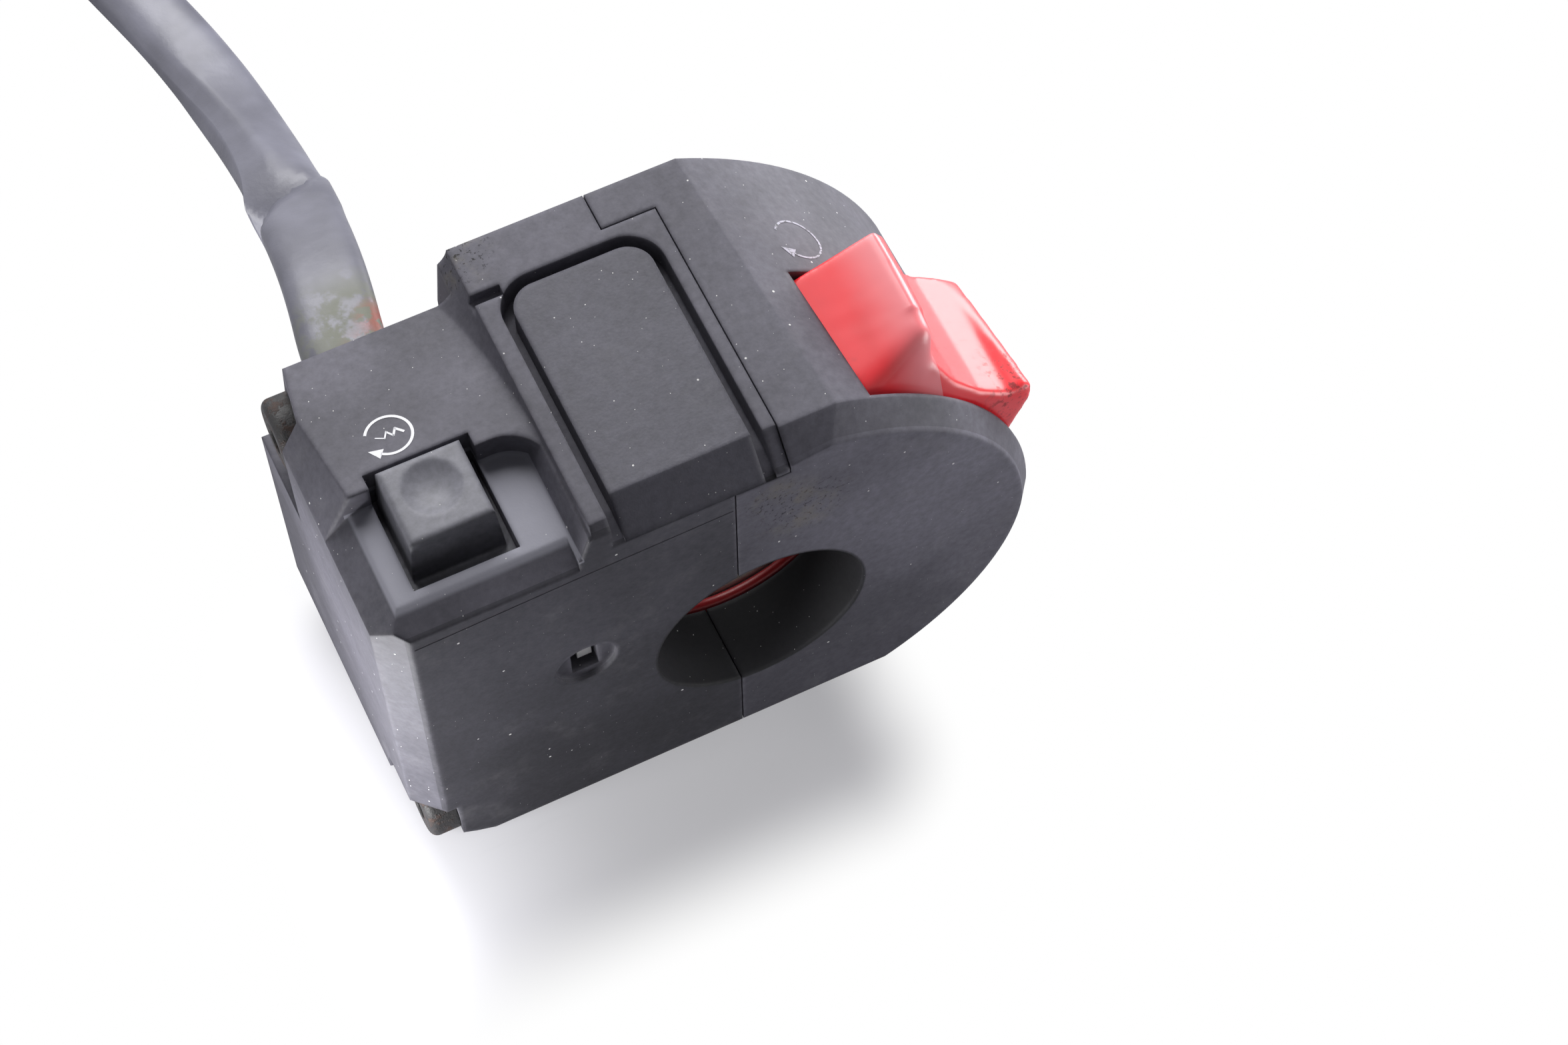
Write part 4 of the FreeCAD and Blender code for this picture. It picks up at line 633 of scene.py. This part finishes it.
class SWITCH_OT_stage(bpy.types.Operator):
    """Sets up the camera, the pale floor and the soft lights"""

    bl_idname = "switch.stage"
    bl_label = "Stage"

    @staticmethod
    def camera(lens):
        data = bpy.data.cameras.new("camera")
        data.lens, data.sensor_width, data.clip_start = lens, 36.0, 0.01
        camera = linked("camera", data)
        turn = Matrix(CAMERA_AXES).transposed() @ Matrix.Diagonal((1.0, -1.0, -1.0))
        camera.matrix_world = Matrix.Translation(metres(CAMERA_PLACE)) @ turn.to_4x4()
        return camera

    @staticmethod
    def floor_finish(floor_colour):
        """Pale floor: white to the camera, but for the shadow close to the part and a painted
        shadow at the left front.
        """
        r = new_material("pale_floor")
        where = r.place()
        streaks = r.noise(r.place((1, 7, 1), (0, 0, 0.5)), 16.0, detail=5.0, roughness=0.7)
        seen = r.node("LightPath")["Is Camera Ray"]
        # A painted shadow darkens the floor's colour at the left front
        colour = r.layers(floor_colour, (r.step(streaks, 0.62, 0.78) * 0.1, FLOOR_MARK),
                          (r.near(where, *PAINTED_SHADOW_SPOT) * 0.4, FLOOR_PAINTED_SHADOW))
        surface = r.node("BsdfPrincipled", None, {
            "Base Color": r.mix(seen, FLOOR_BOUNCE, colour), "Roughness": 0.55,
            "Specular IOR Level": 0.2})["BSDF"]
        white = r.node("Emission", None, {"Color": (1.0, 1.0, 1.0), "Strength": 1.0})["Emission"]
        apart = where
        for operation, *other in (("SUBTRACT", metres(SHADOW_CENTRE)), ("ABSOLUTE",),
                                  ("SUBTRACT", metres(SHADOW_HALVES)), ("MAXIMUM", (0, 0, 0))):
            apart = r.vector(operation, apart, *other)["Vector"]
        lift = r.step(r.vector("LENGTH", apart)["Value"], *metres(SHADOW_FADE), 0.16, 1.0)
        return r.finish(r.node("MixShader", None, {
            0: seen * lift, 1: surface, 2: white})["Shader"])

    @staticmethod
    def studio():
        """A dim world that is white to the camera and in gloss and glass."""
        world = bpy.data.worlds.new("studio")
        r = Recipe(world)
        light, white = (r.node("Background", None, {"Color": colour, "Strength": strength})[0]
                        for colour, strength in (((0.95, 0.95, 1.0), 0.07), ((1, 1, 1), 1.0)))
        path = r.node("LightPath")
        seen = path["Is Camera Ray"].at_least(path["Is Transmission Ray"]).at_least(
            path["Is Glossy Ray"])
        mixed = r.node("MixShader", None, {0: seen, 1: light, 2: white})["Shader"]
        r.node("OutputWorld", None, {"Surface": mixed})
        return world

    @staticmethod
    def lamp(name, spot, aim, side, watts):
        data = bpy.data.lights.new(name, "AREA")
        data.size, data.energy = side * MM, watts
        lamp = linked(name, data)
        way = (Vector(aim) - Vector(spot)).normalized()
        turn = way.to_track_quat("-Z", "Y").to_matrix().to_4x4()
        lamp.matrix_world = Matrix.Translation(metres(spot)) @ turn
        lamp.visible_camera = False

    def execute(self, context):
        scene = context.scene
        looks = scene.stage_looks
        scene.camera = self.camera(looks.lens)
        bm = bmesh.new()
        bmesh.ops.create_grid(bm, x_segments=8, y_segments=8, size=FLOOR_HALF * MM)
        mesh = mesh_of(bm, "floor")
        mesh.transform(Matrix.Translation((0, 0, (UNDERSIDE - FLOOR_GAP) * MM)))
        mesh.materials.append(self.floor_finish(tuple(looks.floor_colour)))
        floor = linked("floor", mesh)
        scene.world = self.studio()
        for name, facts in LAMPS.items():
            self.lamp(name, *facts)
        scene.view_settings.view_transform = "Standard"
        return {"FINISHED"}


class SWITCH_OT_case(bpy.types.Operator):
    """Finishes the two case halves, the blank cover and the starter button"""

    bl_idname = "switch.case"
    bl_label = "Case"

    # The mould line's course under the deck, and its section as steps along the bar and up
    MOULD_LINE = ((-34.3, -18.0, 23.3), (-18.2, -18.0, 23.9), (-2.6, -18.0, 24.2))
    MOULD_SECTION = ((0.02, -0.09), (-0.045, 0.0), (0.02, 0.09))

    def execute(self, context):
        looks = context.scene.case_looks
        colour, dust = tuple(looks.colour), looks.dust
        # The starter half's near face gets painted shade and the kill half's painted light; both
        # get painted shade towards the underside
        halves = moulded_plastic("case_plastic", colour, dust=dust, grime_and_bore_shade=True, foot=0.55,
                                 pocket=True, side=-0.42)
        dress(halves, "lower_case")
        dress(moulded_plastic("kill_plastic", tuple(c * 1.02 for c in colour), dust=dust,
                              grime_and_bore_shade=True, foot=0.6, side=0.45), "upper_case")
        dress(moulded_plastic("cover_plastic", tuple(looks.cover_colour), grain=0.9, cloud=0.12,
                              dust=dust, edge=0.25, rough=0.56), "blank_cover")
        dress(moulded_plastic("button_plastic", (0.165, 0.165, 0.19), grain=0.25, dust=0.4,
                              edge=0.5, rough=0.45), "starter_button")
        bm = bmesh.new()
        tube_faces(bm, [[bm.verts.new(metres((x, y + out, z + up)))
                         for out, up in self.MOULD_SECTION] for x, y, z in self.MOULD_LINE])
        bmesh.ops.recalc_face_normals(bm, faces=bm.faces)
        shown("mould_line", mesh_of(bm, "mould_line"), "housing", halves)
        return {"FINISHED"}


class SWITCH_OT_metal(bpy.types.Operator):
    """Finishes the screws, springs, pins and contacts, and the inner switch bases"""

    bl_idname = "switch.metal"
    bl_label = "Inner pieces and screws"

    def execute(self, context):
        dress(rusty_black("screw_black"), "case_screws")
        dress(plain_metal("bright_steel", (0.62, 0.62, 0.64), 0.3),
              "starter_base_screws", "kill_base_screws", "starter_return_spring",
              "kill_detent_spring", "kill_pivot_pin")
        dress(plain_metal("contact_brass", (0.72, 0.5, 0.24), 0.32),
              "starter_moving_contact", "starter_fixed_contacts", "kill_slider_contact",
              "kill_fixed_contacts", "kill_detent_plunger", "case_screw_inserts",
              "connector_terminals")
        dress(plain_metal("window_blade", (0.8, 0.79, 0.78), 0.35, age=0.15), "window_contact")
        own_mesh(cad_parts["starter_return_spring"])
        dress(moulded_plastic("base_resin", (0.2, 0.11, 0.055), dust=0.1, edge=0.2, rough=0.5),
              "starter_switch_base", "kill_switch_base")
        dress(moulded_plastic("slider_resin", (0.6, 0.58, 0.52), dust=0.1, edge=0.1, rough=0.45),
              "kill_contact_slider")
        return {"FINISHED"}


class SWITCH_OT_rocker(bpy.types.Operator):
    """Builds the two-winged kill rocker from sections across the bar"""

    bl_idname = "switch.rocker"
    bl_label = "Kill rocker"

    # Sides of the rocker in its own frame, and the radii of its corners seen from above
    NEAR, FAR = -14.75, 0.15
    LEFT, LEFT_ROUND = -12.5, 2.6
    RIGHT, RIGHT_ROUND = 12.6, 3.4
    LEVELS = (FAR, 0.0, -0.25, -0.6, -1.1, -1.8, -2.6, -3.4, -6.0, -9.0, -11.0, -12.2, -12.8,
              -13.4, -13.9, -14.3, -14.55, NEAR)
    CORNER_POINTS = 7
    # The leaning cut of its near end, and the angle past which an edge stays sharp
    END_PLACE, END_LEAN = (0, -18.3, 0), (0.0878, 1.0, -0.4483)
    SHARP = math.radians(50)
    # The tail that pushes the slider: its middle and its size
    TAIL_PLACE, TAIL_SIZE = (0.0, -7.3, -3.4), (1.8, 4.0, 3.8)
    # Bores for the pin and the plunger: radius, place in the section, and both ends
    BORES = ((1.24, 0.0, 0.0, -16.0, 1.0), (1.3, -6.2, 4.0, -6.85, 1.0))
    # Boxes in which it is rounded in turn: the passes, the low corner and the high one
    OPEN = math.inf
    ROUNDED = (("rim_passes", (-OPEN, -OPEN, 1.0), (OPEN, OPEN, OPEN)),
               ("corner_passes", (-OPEN, -OPEN, 3.5), (-4.5, -9.0, OPEN)),
               ("rim_passes", (6.0, -2.5, 4.0), (OPEN, OPEN, OPEN)),
               ("rim_passes", (6.0, -OPEN, 4.0), (OPEN, -11.5, OPEN)))

    def section(self, y):
        """Rounded outline of the rocker at one distance along the bar."""
        along = (self.FAR - y) / (self.FAR - self.NEAR)
        rise = 9.5 + 1.4 * along
        drop = 0.7 * along ** 2
        # Across, out from the pivot, and the corner's radius, left wing first
        corners = [
            (-12.4, 5.0, 0.5), (-7.9, 13.85 - drop, 0.5), (-6.1, 13.6 - drop, 0.5),
            (-4.6, 10.6, 1.5), (-1.0, 9.5, 3.0), (3.0, 9.2, 4.0), (6.9, 9.6, 2.5),
            (8.3, rise, 0.6), (9.6, rise, 0.6), (12.5, 3.6, 0.5), (9.6, -1.6, 0.4),
            (2.7, -1.2, 0.2),
            (2.7, -1.7, 0.2), (1.6, -2.65, 0.2), (-1.6, -2.65, 0.2), (-2.7, -1.7, 0.2),
            (-2.7, -1.2, 0.2), (-9.6, 0.4, 0.4)]
        outline = []
        for index, (u, n, radius) in enumerate(corners):
            here = Vector((u, n))
            back = Vector(corners[index - 1][:2]) - here
            ahead = Vector(corners[(index + 1) % len(corners)][:2]) - here
            half = back.angle(ahead) / 2
            reach = min(radius / math.tan(half), 0.42 * back.length, 0.42 * ahead.length)
            one, two = here + back.normalized() * reach, here + ahead.normalized() * reach
            for step in range(self.CORNER_POINTS):
                t = step / (self.CORNER_POINTS - 1)
                outline.append(one * (1 - t) ** 2 + here * (2 * t * (1 - t)) + two * t ** 2)
        right = self.RIGHT - self.plan_round(self.FAR - y, self.RIGHT_ROUND)
        left = self.LEFT + self.plan_round(y - self.NEAR, self.LEFT_ROUND)
        return [(min(max(p.x, left), right), p.y) for p in outline]

    @staticmethod
    def plan_round(depth, radius):
        """How far a rounded corner has drawn in at a depth from the end."""
        short = max(radius - depth, 0.0)
        return radius - math.sqrt(max(radius ** 2 - short ** 2, 0.0))

    @staticmethod
    def remeshed(mesh, grid):
        """An even small grid over the same form, so that smoothing rounds it evenly."""
        blank = linked("blank", mesh)
        even = blank.modifiers.new("even", "REMESH")
        even.mode, even.voxel_size = "VOXEL", grid
        made = made_plain(blank)
        bpy.data.objects.remove(blank)
        return made

    @staticmethod
    def joined(mesh, steps):
        """The mesh after each piece has been added to it or cut from it."""
        blank = linked("blank", mesh)
        helpers = []
        for operation, other in steps:
            helpers.append(linked("helper", other))
            step = blank.modifiers.new(operation.lower(), "BOOLEAN")
            step.operation, step.solver, step.object = operation, "EXACT", helpers[-1]
        made = made_plain(blank)
        for spare in (blank, *helpers):
            bpy.data.objects.remove(spare)
        return made

    def rough_form(self):
        """The sections joined into a closed form, its near end cut at a lean."""
        bm = bmesh.new()
        tube_faces(bm, [[bm.verts.new((u, y, n)) for u, n in self.section(y)]
                        for y in self.LEVELS])
        bmesh.ops.remove_doubles(bm, verts=bm.verts, dist=1e-4)
        bmesh.ops.recalc_face_normals(bm, faces=bm.faces)
        cut = bmesh.ops.bisect_plane(
            bm, geom=[*bm.verts, *bm.edges, *bm.faces], plane_co=self.END_PLACE,
            plane_no=self.END_LEAN, clear_inner=True)
        rim = [e for e in cut["geom_cut"] if isinstance(e, bmesh.types.BMEdge)]
        bmesh.ops.contextual_create(bm, geom=rim)
        bmesh.ops.recalc_face_normals(bm, faces=bm.faces)
        return mesh_of(bm, "rocker_rough")

    def rounded(self, mesh, looks):
        """The form with its upper rims rounded, and its near left corner more than the rest."""
        bm = bmesh.new()
        bm.from_mesh(mesh)
        bpy.data.meshes.remove(mesh)
        for passes, low, high in self.ROUNDED:
            verts = [v for v in bm.verts if all(a < c < b for a, c, b in zip(low, v.co, high))]
            for _ in range(getattr(looks, passes)):
                bmesh.ops.smooth_vert(bm, verts=verts, factor=0.5, use_axis_x=True,
                                      use_axis_y=True, use_axis_z=True)
        return mesh_of(bm, "rocker_smooth")

    def execute(self, context):
        looks = context.scene.rocker_looks
        shell = self.rounded(self.remeshed(self.rough_form(), looks.grid / MM), looks)
        bm = bmesh.new()
        for vert in bmesh.ops.create_cube(bm, size=1.0)["verts"]:
            vert.co = [middle + share * size for middle, share, size in zip(
                self.TAIL_PLACE, vert.co, self.TAIL_SIZE)]
        steps = [("UNION", mesh_of(bm, "rocker_tail"))]
        for radius, u, n, low, high in self.BORES:
            bm = bmesh.new()
            bmesh.ops.create_cone(
                bm, cap_ends=True, segments=32, radius1=radius, radius2=radius, depth=high - low,
                matrix=Matrix.Translation((u, (low + high) / 2, n))
                @ Matrix.Rotation(math.radians(90), 4, "X"))
            steps.append(("DIFFERENCE", mesh_of(bm, "rocker_bore")))
        mesh = self.joined(shell, steps)
        mesh.transform(Matrix.Scale(MM, 4) @ TILTED)
        shade_smooth(mesh)
        mesh.set_sharp_from_angle(angle=self.SHARP)
        piece = shown("rocker_shell", mesh, "rocker",
                      glossy_red("signal_red", tuple(looks.colour)))
        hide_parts("kill_rocker")
        return {"FINISHED"}


class SWITCH_OT_symbols(bpy.types.Operator):
    """Prints the generic start and run symbols on the case"""

    bl_idname = "switch.symbols"
    bl_label = "Symbols"

    ARC_STEPS = 40
    ARROW_BACK, ARROW_HALF, ARROW_LENGTH = 0.1, 0.57, 1.25
    BOLT = ((-1.2, 0.2), (-0.47, -0.2), (-0.09, 0.45), (0.38, -0.24), (0.78, 0.47),
            (1.38, -0.21))
    # Edges longer than this are divided, so that the print can follow its surface
    LONG_EDGE = 0.5
    ABOVE_DECK, PRINT_LIFT = 45.0, 0.035

    @staticmethod
    def stroke(bm, points, width):
        """A flat ribbon along points in the symbol's own plane."""
        pairs = []
        for index, point in enumerate(points):
            before = points[max(index - 1, 0)]
            after = points[min(index + 1, len(points) - 1)]
            way = (after - before).normalized()
            side = Vector((-way.y, way.x)) * width / 2
            pairs.append([bm.verts.new((*(point + side), 0)), bm.verts.new((*(point - side), 0))])
        for one, two in zip(pairs, pairs[1:]):
            bm.faces.new((one[0], one[1], two[1], two[0]))

    def drawn(self, radius, width, start, stop, bolt):
        """A round arrow between two angles, with a zigzag inside it where asked."""
        bm = bmesh.new()
        arc = [Vector((math.cos(a), math.sin(a))) * radius for a in (
            math.radians(start + (stop - start) * k / self.ARC_STEPS)
            for k in range(self.ARC_STEPS + 1))]
        self.stroke(bm, arc, width)
        way = (arc[-1] - arc[-2]).normalized()
        side, foot = Vector((-way.y, way.x)) * self.ARROW_HALF, arc[-1] - way * self.ARROW_BACK
        bm.faces.new([bm.verts.new((*p, 0)) for p in (
            foot + side, foot - side, arc[-1] + way * self.ARROW_LENGTH)])
        if bolt:
            zigzag = [Vector(p) for p in self.BOLT]
            for k, (one, two) in enumerate(zip(zigzag, zigzag[1:])):
                reach = (two - one).normalized() * width * 0.3
                self.stroke(bm, [one - reach, two + reach], width * (0.45 + 0.12 * k))
        bmesh.ops.subdivide_edges(
            bm, edges=[e for e in bm.edges if e.calc_length() > self.LONG_EDGE], cuts=2)
        bmesh.ops.triangulate(bm, faces=bm.faces)
        return bm

    def printed(self, bm, name, node, spot, stretch, paint):
        """Lays a flat symbol on a case half, just clear of its surface."""
        tree = BVHTree.FromObject(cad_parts[node], bpy.context.evaluated_depsgraph_get())
        for vert in bm.verts:
            above = (spot[0] + stretch[0] * vert.co.x, spot[1] + stretch[1] * vert.co.y,
                     self.ABOVE_DECK)
            hit, normal, _, _ = tree.ray_cast(metres(above), Vector((0, 0, -1)))
            if hit is None:
                raise RuntimeError(name + " misses its surface")
            vert.co = hit + (normal if normal.z > 0 else -normal) * self.PRINT_LIFT * MM
        for face in bm.faces:
            face.normal_update()
            if face.normal.z < 0:
                face.normal_flip()
        shown(name, mesh_of(bm, name), "housing", paint)

    def execute(self, context):
        looks = context.scene.symbol_looks
        radius, width = looks.radius / MM, looks.stroke / MM
        self.printed(self.drawn(radius, width, 155.0, -130.0, bolt=True), "start_symbol",
                     "lower_case", (-28.5, 0.4), (1.0, 1.0),
                     worn_paint("start_print", 0.3, (0.88, 0.88, 0.92)))
        self.printed(self.drawn(radius, width * 0.75, 150.0, -130.0, bolt=False), "run_symbol",
                     "upper_case", (15.0, 4.7), (0.95, 1.1),
                     worn_paint("run_print", 0.46, (0.45, 0.44, 0.52)))
        return {"FINISHED"}


class SWITCH_OT_leads(bpy.types.Operator):
    """Lays the four leads inside the housing as smooth curves"""

    bl_idname = "switch.leads"
    bl_label = "Leads"

    def execute(self, context):
        for node, (colour, route) in LEADS.items():
            lead = smooth_curve("lead_" + node.split("_")[1], route, LEAD_RADIUS)
            lead.data.materials.append(soft_sheath(node + "_vinyl", colour))
            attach(lead, "housing")
            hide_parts(node)
        return {"FINISHED"}


class SWITCH_OT_harness(bpy.types.Operator):
    """Sweeps the flattened sleeve along the harness's line, and finishes its tie and plug"""

    bl_idname = "switch.harness"
    bl_label = "Harness"

    # Millimetres along the harness between which the sleeve widens from the gland, turns
    # square, settles past the fold, swells before it, leans over, and is straight and round again
    WIDENS, SQUARES, SETTLES, SWELLS = (4, 18), (6, 16), (42, 50), (34, 43)
    LEANS, STANDS, FOLD_EASES, ROUNDS = (38, 48), (58, 80), (60, 84), (62, 84)
    # How narrow it is in the gland, how square it gets, and how it differs past the fold
    WAIST, SQUARE, ROUNDER, NARROWER, THICKER = 0.4, 0.42, 0.7, 0.1, 0.15
    # The fold: its start at the middle, its slant, where its ridge runs and how it falls away
    FOLD_START, FOLD_SLANT, FOLD_END, FOLD_LIP = 41.4, 4.4, 84.0, 0.9
    RIDGE_FAR, RIDGE_NEAR, RIDGE_RUN, FOLD_SLOPE, FOLD_FLOOR = -0.62, 1.25, 6.5, 1.35, -0.7
    # How far it swells, how much it leans, and the furthest that it goes from its line
    SWELL, LEAN, FURTHEST = 0.45, 0.5, 4.7

    @staticmethod
    def sweep_tree(material):
        """Node tree that draws a flattened sleeve along a curve and marks how far along it is."""
        group = bpy.data.node_groups.new("sleeve_sweep", "GeometryNodeTree")
        face = group.interface
        face.new_socket("Line", in_out="INPUT", socket_type="NodeSocketGeometry")
        for name, default in (("Width", 9.0), ("Thickness", 5.0), ("Spacing", 0.7)):
            face.new_socket(name, in_out="INPUT",
                            socket_type="NodeSocketFloat").default_value = default * MM
        face.new_socket("Sleeve", in_out="OUTPUT", socket_type="NodeSocketGeometry")
        node = Tree(group, "").node
        inputs = node("NodeGroupInput")
        resampled = node("GeometryNodeResampleCurve", {"mode": "LENGTH"}, {
            "Curve": inputs["Line"], "Length": inputs["Spacing"]})["Curve"]
        upright = node("GeometryNodeSetCurveNormal", {"mode": "Z_UP"}, {
            "Curve": resampled})["Curve"]
        along = node("GeometryNodeSplineParameter")["Length"]
        marked = node("GeometryNodeStoreNamedAttribute", {"data_type": "FLOAT"}, {
            "Geometry": upright, "Name": "along", "Value": along})["Geometry"]
        ring = node("GeometryNodeCurvePrimitiveCircle", None, {
            "Resolution": 40, "Radius": 0.5})["Curve"]
        size = node("ShaderNodeCombineXYZ", None, {
            "X": inputs["Width"], "Y": inputs["Thickness"], "Z": 1.0})[0]
        profile = node("GeometryNodeTransform", None, {
            "Geometry": ring, "Scale": size})["Geometry"]
        swept = node("GeometryNodeCurveToMesh", None, {
            "Curve": marked, "Profile Curve": profile, "Fill Caps": True})["Mesh"]
        real = node("GeometryNodeRealizeInstances", None, {"Geometry": swept})[0]
        finished = node("GeometryNodeSetMaterial", None, {
            "Geometry": real, "Material": material})[0]
        node("NodeGroupOutput", None, {"Sleeve": finished})
        return group

    @staticmethod
    def ease(value, low, high):
        """A soft step from 0 to 1."""
        t = min(max((value - low) / (high - low), 0.0), 1.0)
        return t * t * (3 - 2 * t)

    def squeezed(self, s, across, rise, looks):
        """A point of the plain section, s millimetres along, on the sleeve's real section."""
        wide, thick = looks.width / 2, looks.thickness / 2
        angle = math.atan2(rise / thick, across / wide)
        past_fold = self.ease(s, *self.SETTLES)
        wide *= 1.0 - self.WAIST * (1.0 - self.ease(s, *self.WIDENS))
        wide *= 1.0 - self.NARROWER * past_fold
        thick *= 1.0 + self.THICKER * past_fold
        power = 1.0 - self.SQUARE * self.ease(s, *self.SQUARES) * (
            1.0 - self.ROUNDER * self.ease(s, *self.ROUNDS))
        cosine, sine = math.cos(angle), math.sin(angle)
        across = wide * math.copysign(abs(cosine) ** power, cosine)
        rise = thick * math.copysign(abs(sine) ** power, sine)
        past = s - self.FOLD_START - self.FOLD_SLANT * across / wide
        if past > 0 and s < self.FOLD_END:
            ridge = wide * (self.RIDGE_FAR + self.RIDGE_NEAR * math.exp(-past / self.RIDGE_RUN))
            deep = self.ease(past, 0.0, self.FOLD_LIP) * (1.0 - self.ease(s, *self.FOLD_EASES))
            if across < ridge:
                top = thick - self.FOLD_SLOPE * (ridge - across)
                rise = min(rise, max(rise - deep * looks.pinch * 3, top, self.FOLD_FLOOR * thick))
        elif across > 0:
            across += self.SWELL * MM * self.ease(s, *self.SWELLS) * across / wide
        lean = self.LEAN * self.ease(s, *self.LEANS) * (1.0 - self.ease(s, *self.STANDS))
        across, rise = (across * math.cos(lean) + rise * math.sin(lean),
                        rise * math.cos(lean) - across * math.sin(lean))
        held = min(1.0, self.FURTHEST * MM / math.hypot(across, rise))
        return across * held, rise * held

    def shape(self, mesh, path, looks):
        """Narrows the sleeve in the gland, folds it once and leaves it uneven further on."""
        marks = [Vector(p) for p in path]
        lengths = [0.0]
        for a, b in zip(marks, marks[1:]):
            lengths.append(lengths[-1] + (b - a).length)
        along = [item.value for item in mesh.attributes["along"].data]
        for vert, s in zip(mesh.vertices, along):
            k = min(max(bisect.bisect(lengths, s) - 1, 0), len(marks) - 2)
            share = (s - lengths[k]) / (lengths[k + 1] - lengths[k])
            middle = marks[k].lerp(marks[k + 1], min(max(share, 0.0), 1.0))
            way = (marks[k + 1] - marks[k]).normalized()
            side = Vector((way.y, -way.x, 0.0)).normalized()
            up = side.cross(way)
            out = vert.co - middle
            across, rise = self.squeezed(s / MM, out.dot(side), out.dot(up), looks)
            vert.co = middle + side * across + up * rise

    def execute(self, context):
        looks = context.scene.harness_looks
        vinyl = soft_sheath("sleeve_vinyl", (0.125, 0.125, 0.155), stained=True)
        curve = smooth_curve("harness_line", harness_route())
        path = line_of(curve)
        tree = self.sweep_tree(vinyl)
        sweep = curve.modifiers.new("sweep", "NODES")
        sweep.node_group = tree
        named = {item.name: item.identifier for item in tree.interface.items_tree
                 if item.in_out == "INPUT"}
        sweep[named["Width"]] = looks.width
        sweep[named["Thickness"]] = looks.thickness
        mesh = made_plain(curve)
        bpy.data.objects.remove(curve)
        self.shape(mesh, path, looks)
        shade_smooth(mesh)
        sleeve = shown("harness", mesh, "housing", vinyl)
        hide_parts("harness_sleeve", "harness_coil")
        dress(soft_sheath("grommet_rubber", (0.03, 0.03, 0.033), 0.6), "harness_grommet")
        dress(moulded_plastic("tie_plastic", (0.05, 0.05, 0.055), dust=0.2, edge=0.2, rough=0.45),
              "coil_tie")
        dress(moulded_plastic("plug_plastic", (0.62, 0.6, 0.53), dust=0.15, edge=0.15,
                              rough=0.42), "connector_housing")
        return {"FINISHED"}


class SWITCH_PT_panel(bpy.types.Panel):
    """Lists the sizes, the colours and the pieces in the sidebar"""

    bl_idname = "SWITCH_PT_panel"
    bl_label = "Handlebar switch"
    bl_space_type = "VIEW_3D"
    bl_region_type = "UI"
    bl_category = "Switch"

    def draw(self, context):
        for name, group in GROUPS.items():
            box = self.layout.box()
            for field in group.__annotations__:
                box.prop(getattr(context.scene, name), field)
        for operator in OPERATORS:
            self.layout.operator(operator.bl_idname)


GROUPS = {
    "case_looks": CaseLooks, "rocker_looks": RockerLooks, "harness_looks": HarnessLooks,
    "symbol_looks": SymbolLooks, "stage_looks": StageLooks,
}
OPERATORS = (SWITCH_OT_stage, SWITCH_OT_harness, SWITCH_OT_case, SWITCH_OT_metal,
             SWITCH_OT_rocker, SWITCH_OT_symbols, SWITCH_OT_leads)


def register():
    for kind in (*GROUPS.values(), *OPERATORS, SWITCH_PT_panel):
        bpy.utils.register_class(kind)
    for name, group in GROUPS.items():
        setattr(bpy.types.Scene, name, bpy.props.PointerProperty(type=group))


def unregister():
    for name in GROUPS:
        delattr(bpy.types.Scene, name)
    for kind in (SWITCH_PT_panel, *reversed(OPERATORS), *reversed(GROUPS.values())):
        bpy.utils.unregister_class(kind)


def main():
    register()
    for operator in OPERATORS:
        family, name = operator.bl_idname.split(".")
        getattr(getattr(bpy.ops, family), name)()


if __name__ == "__main__":
    main()
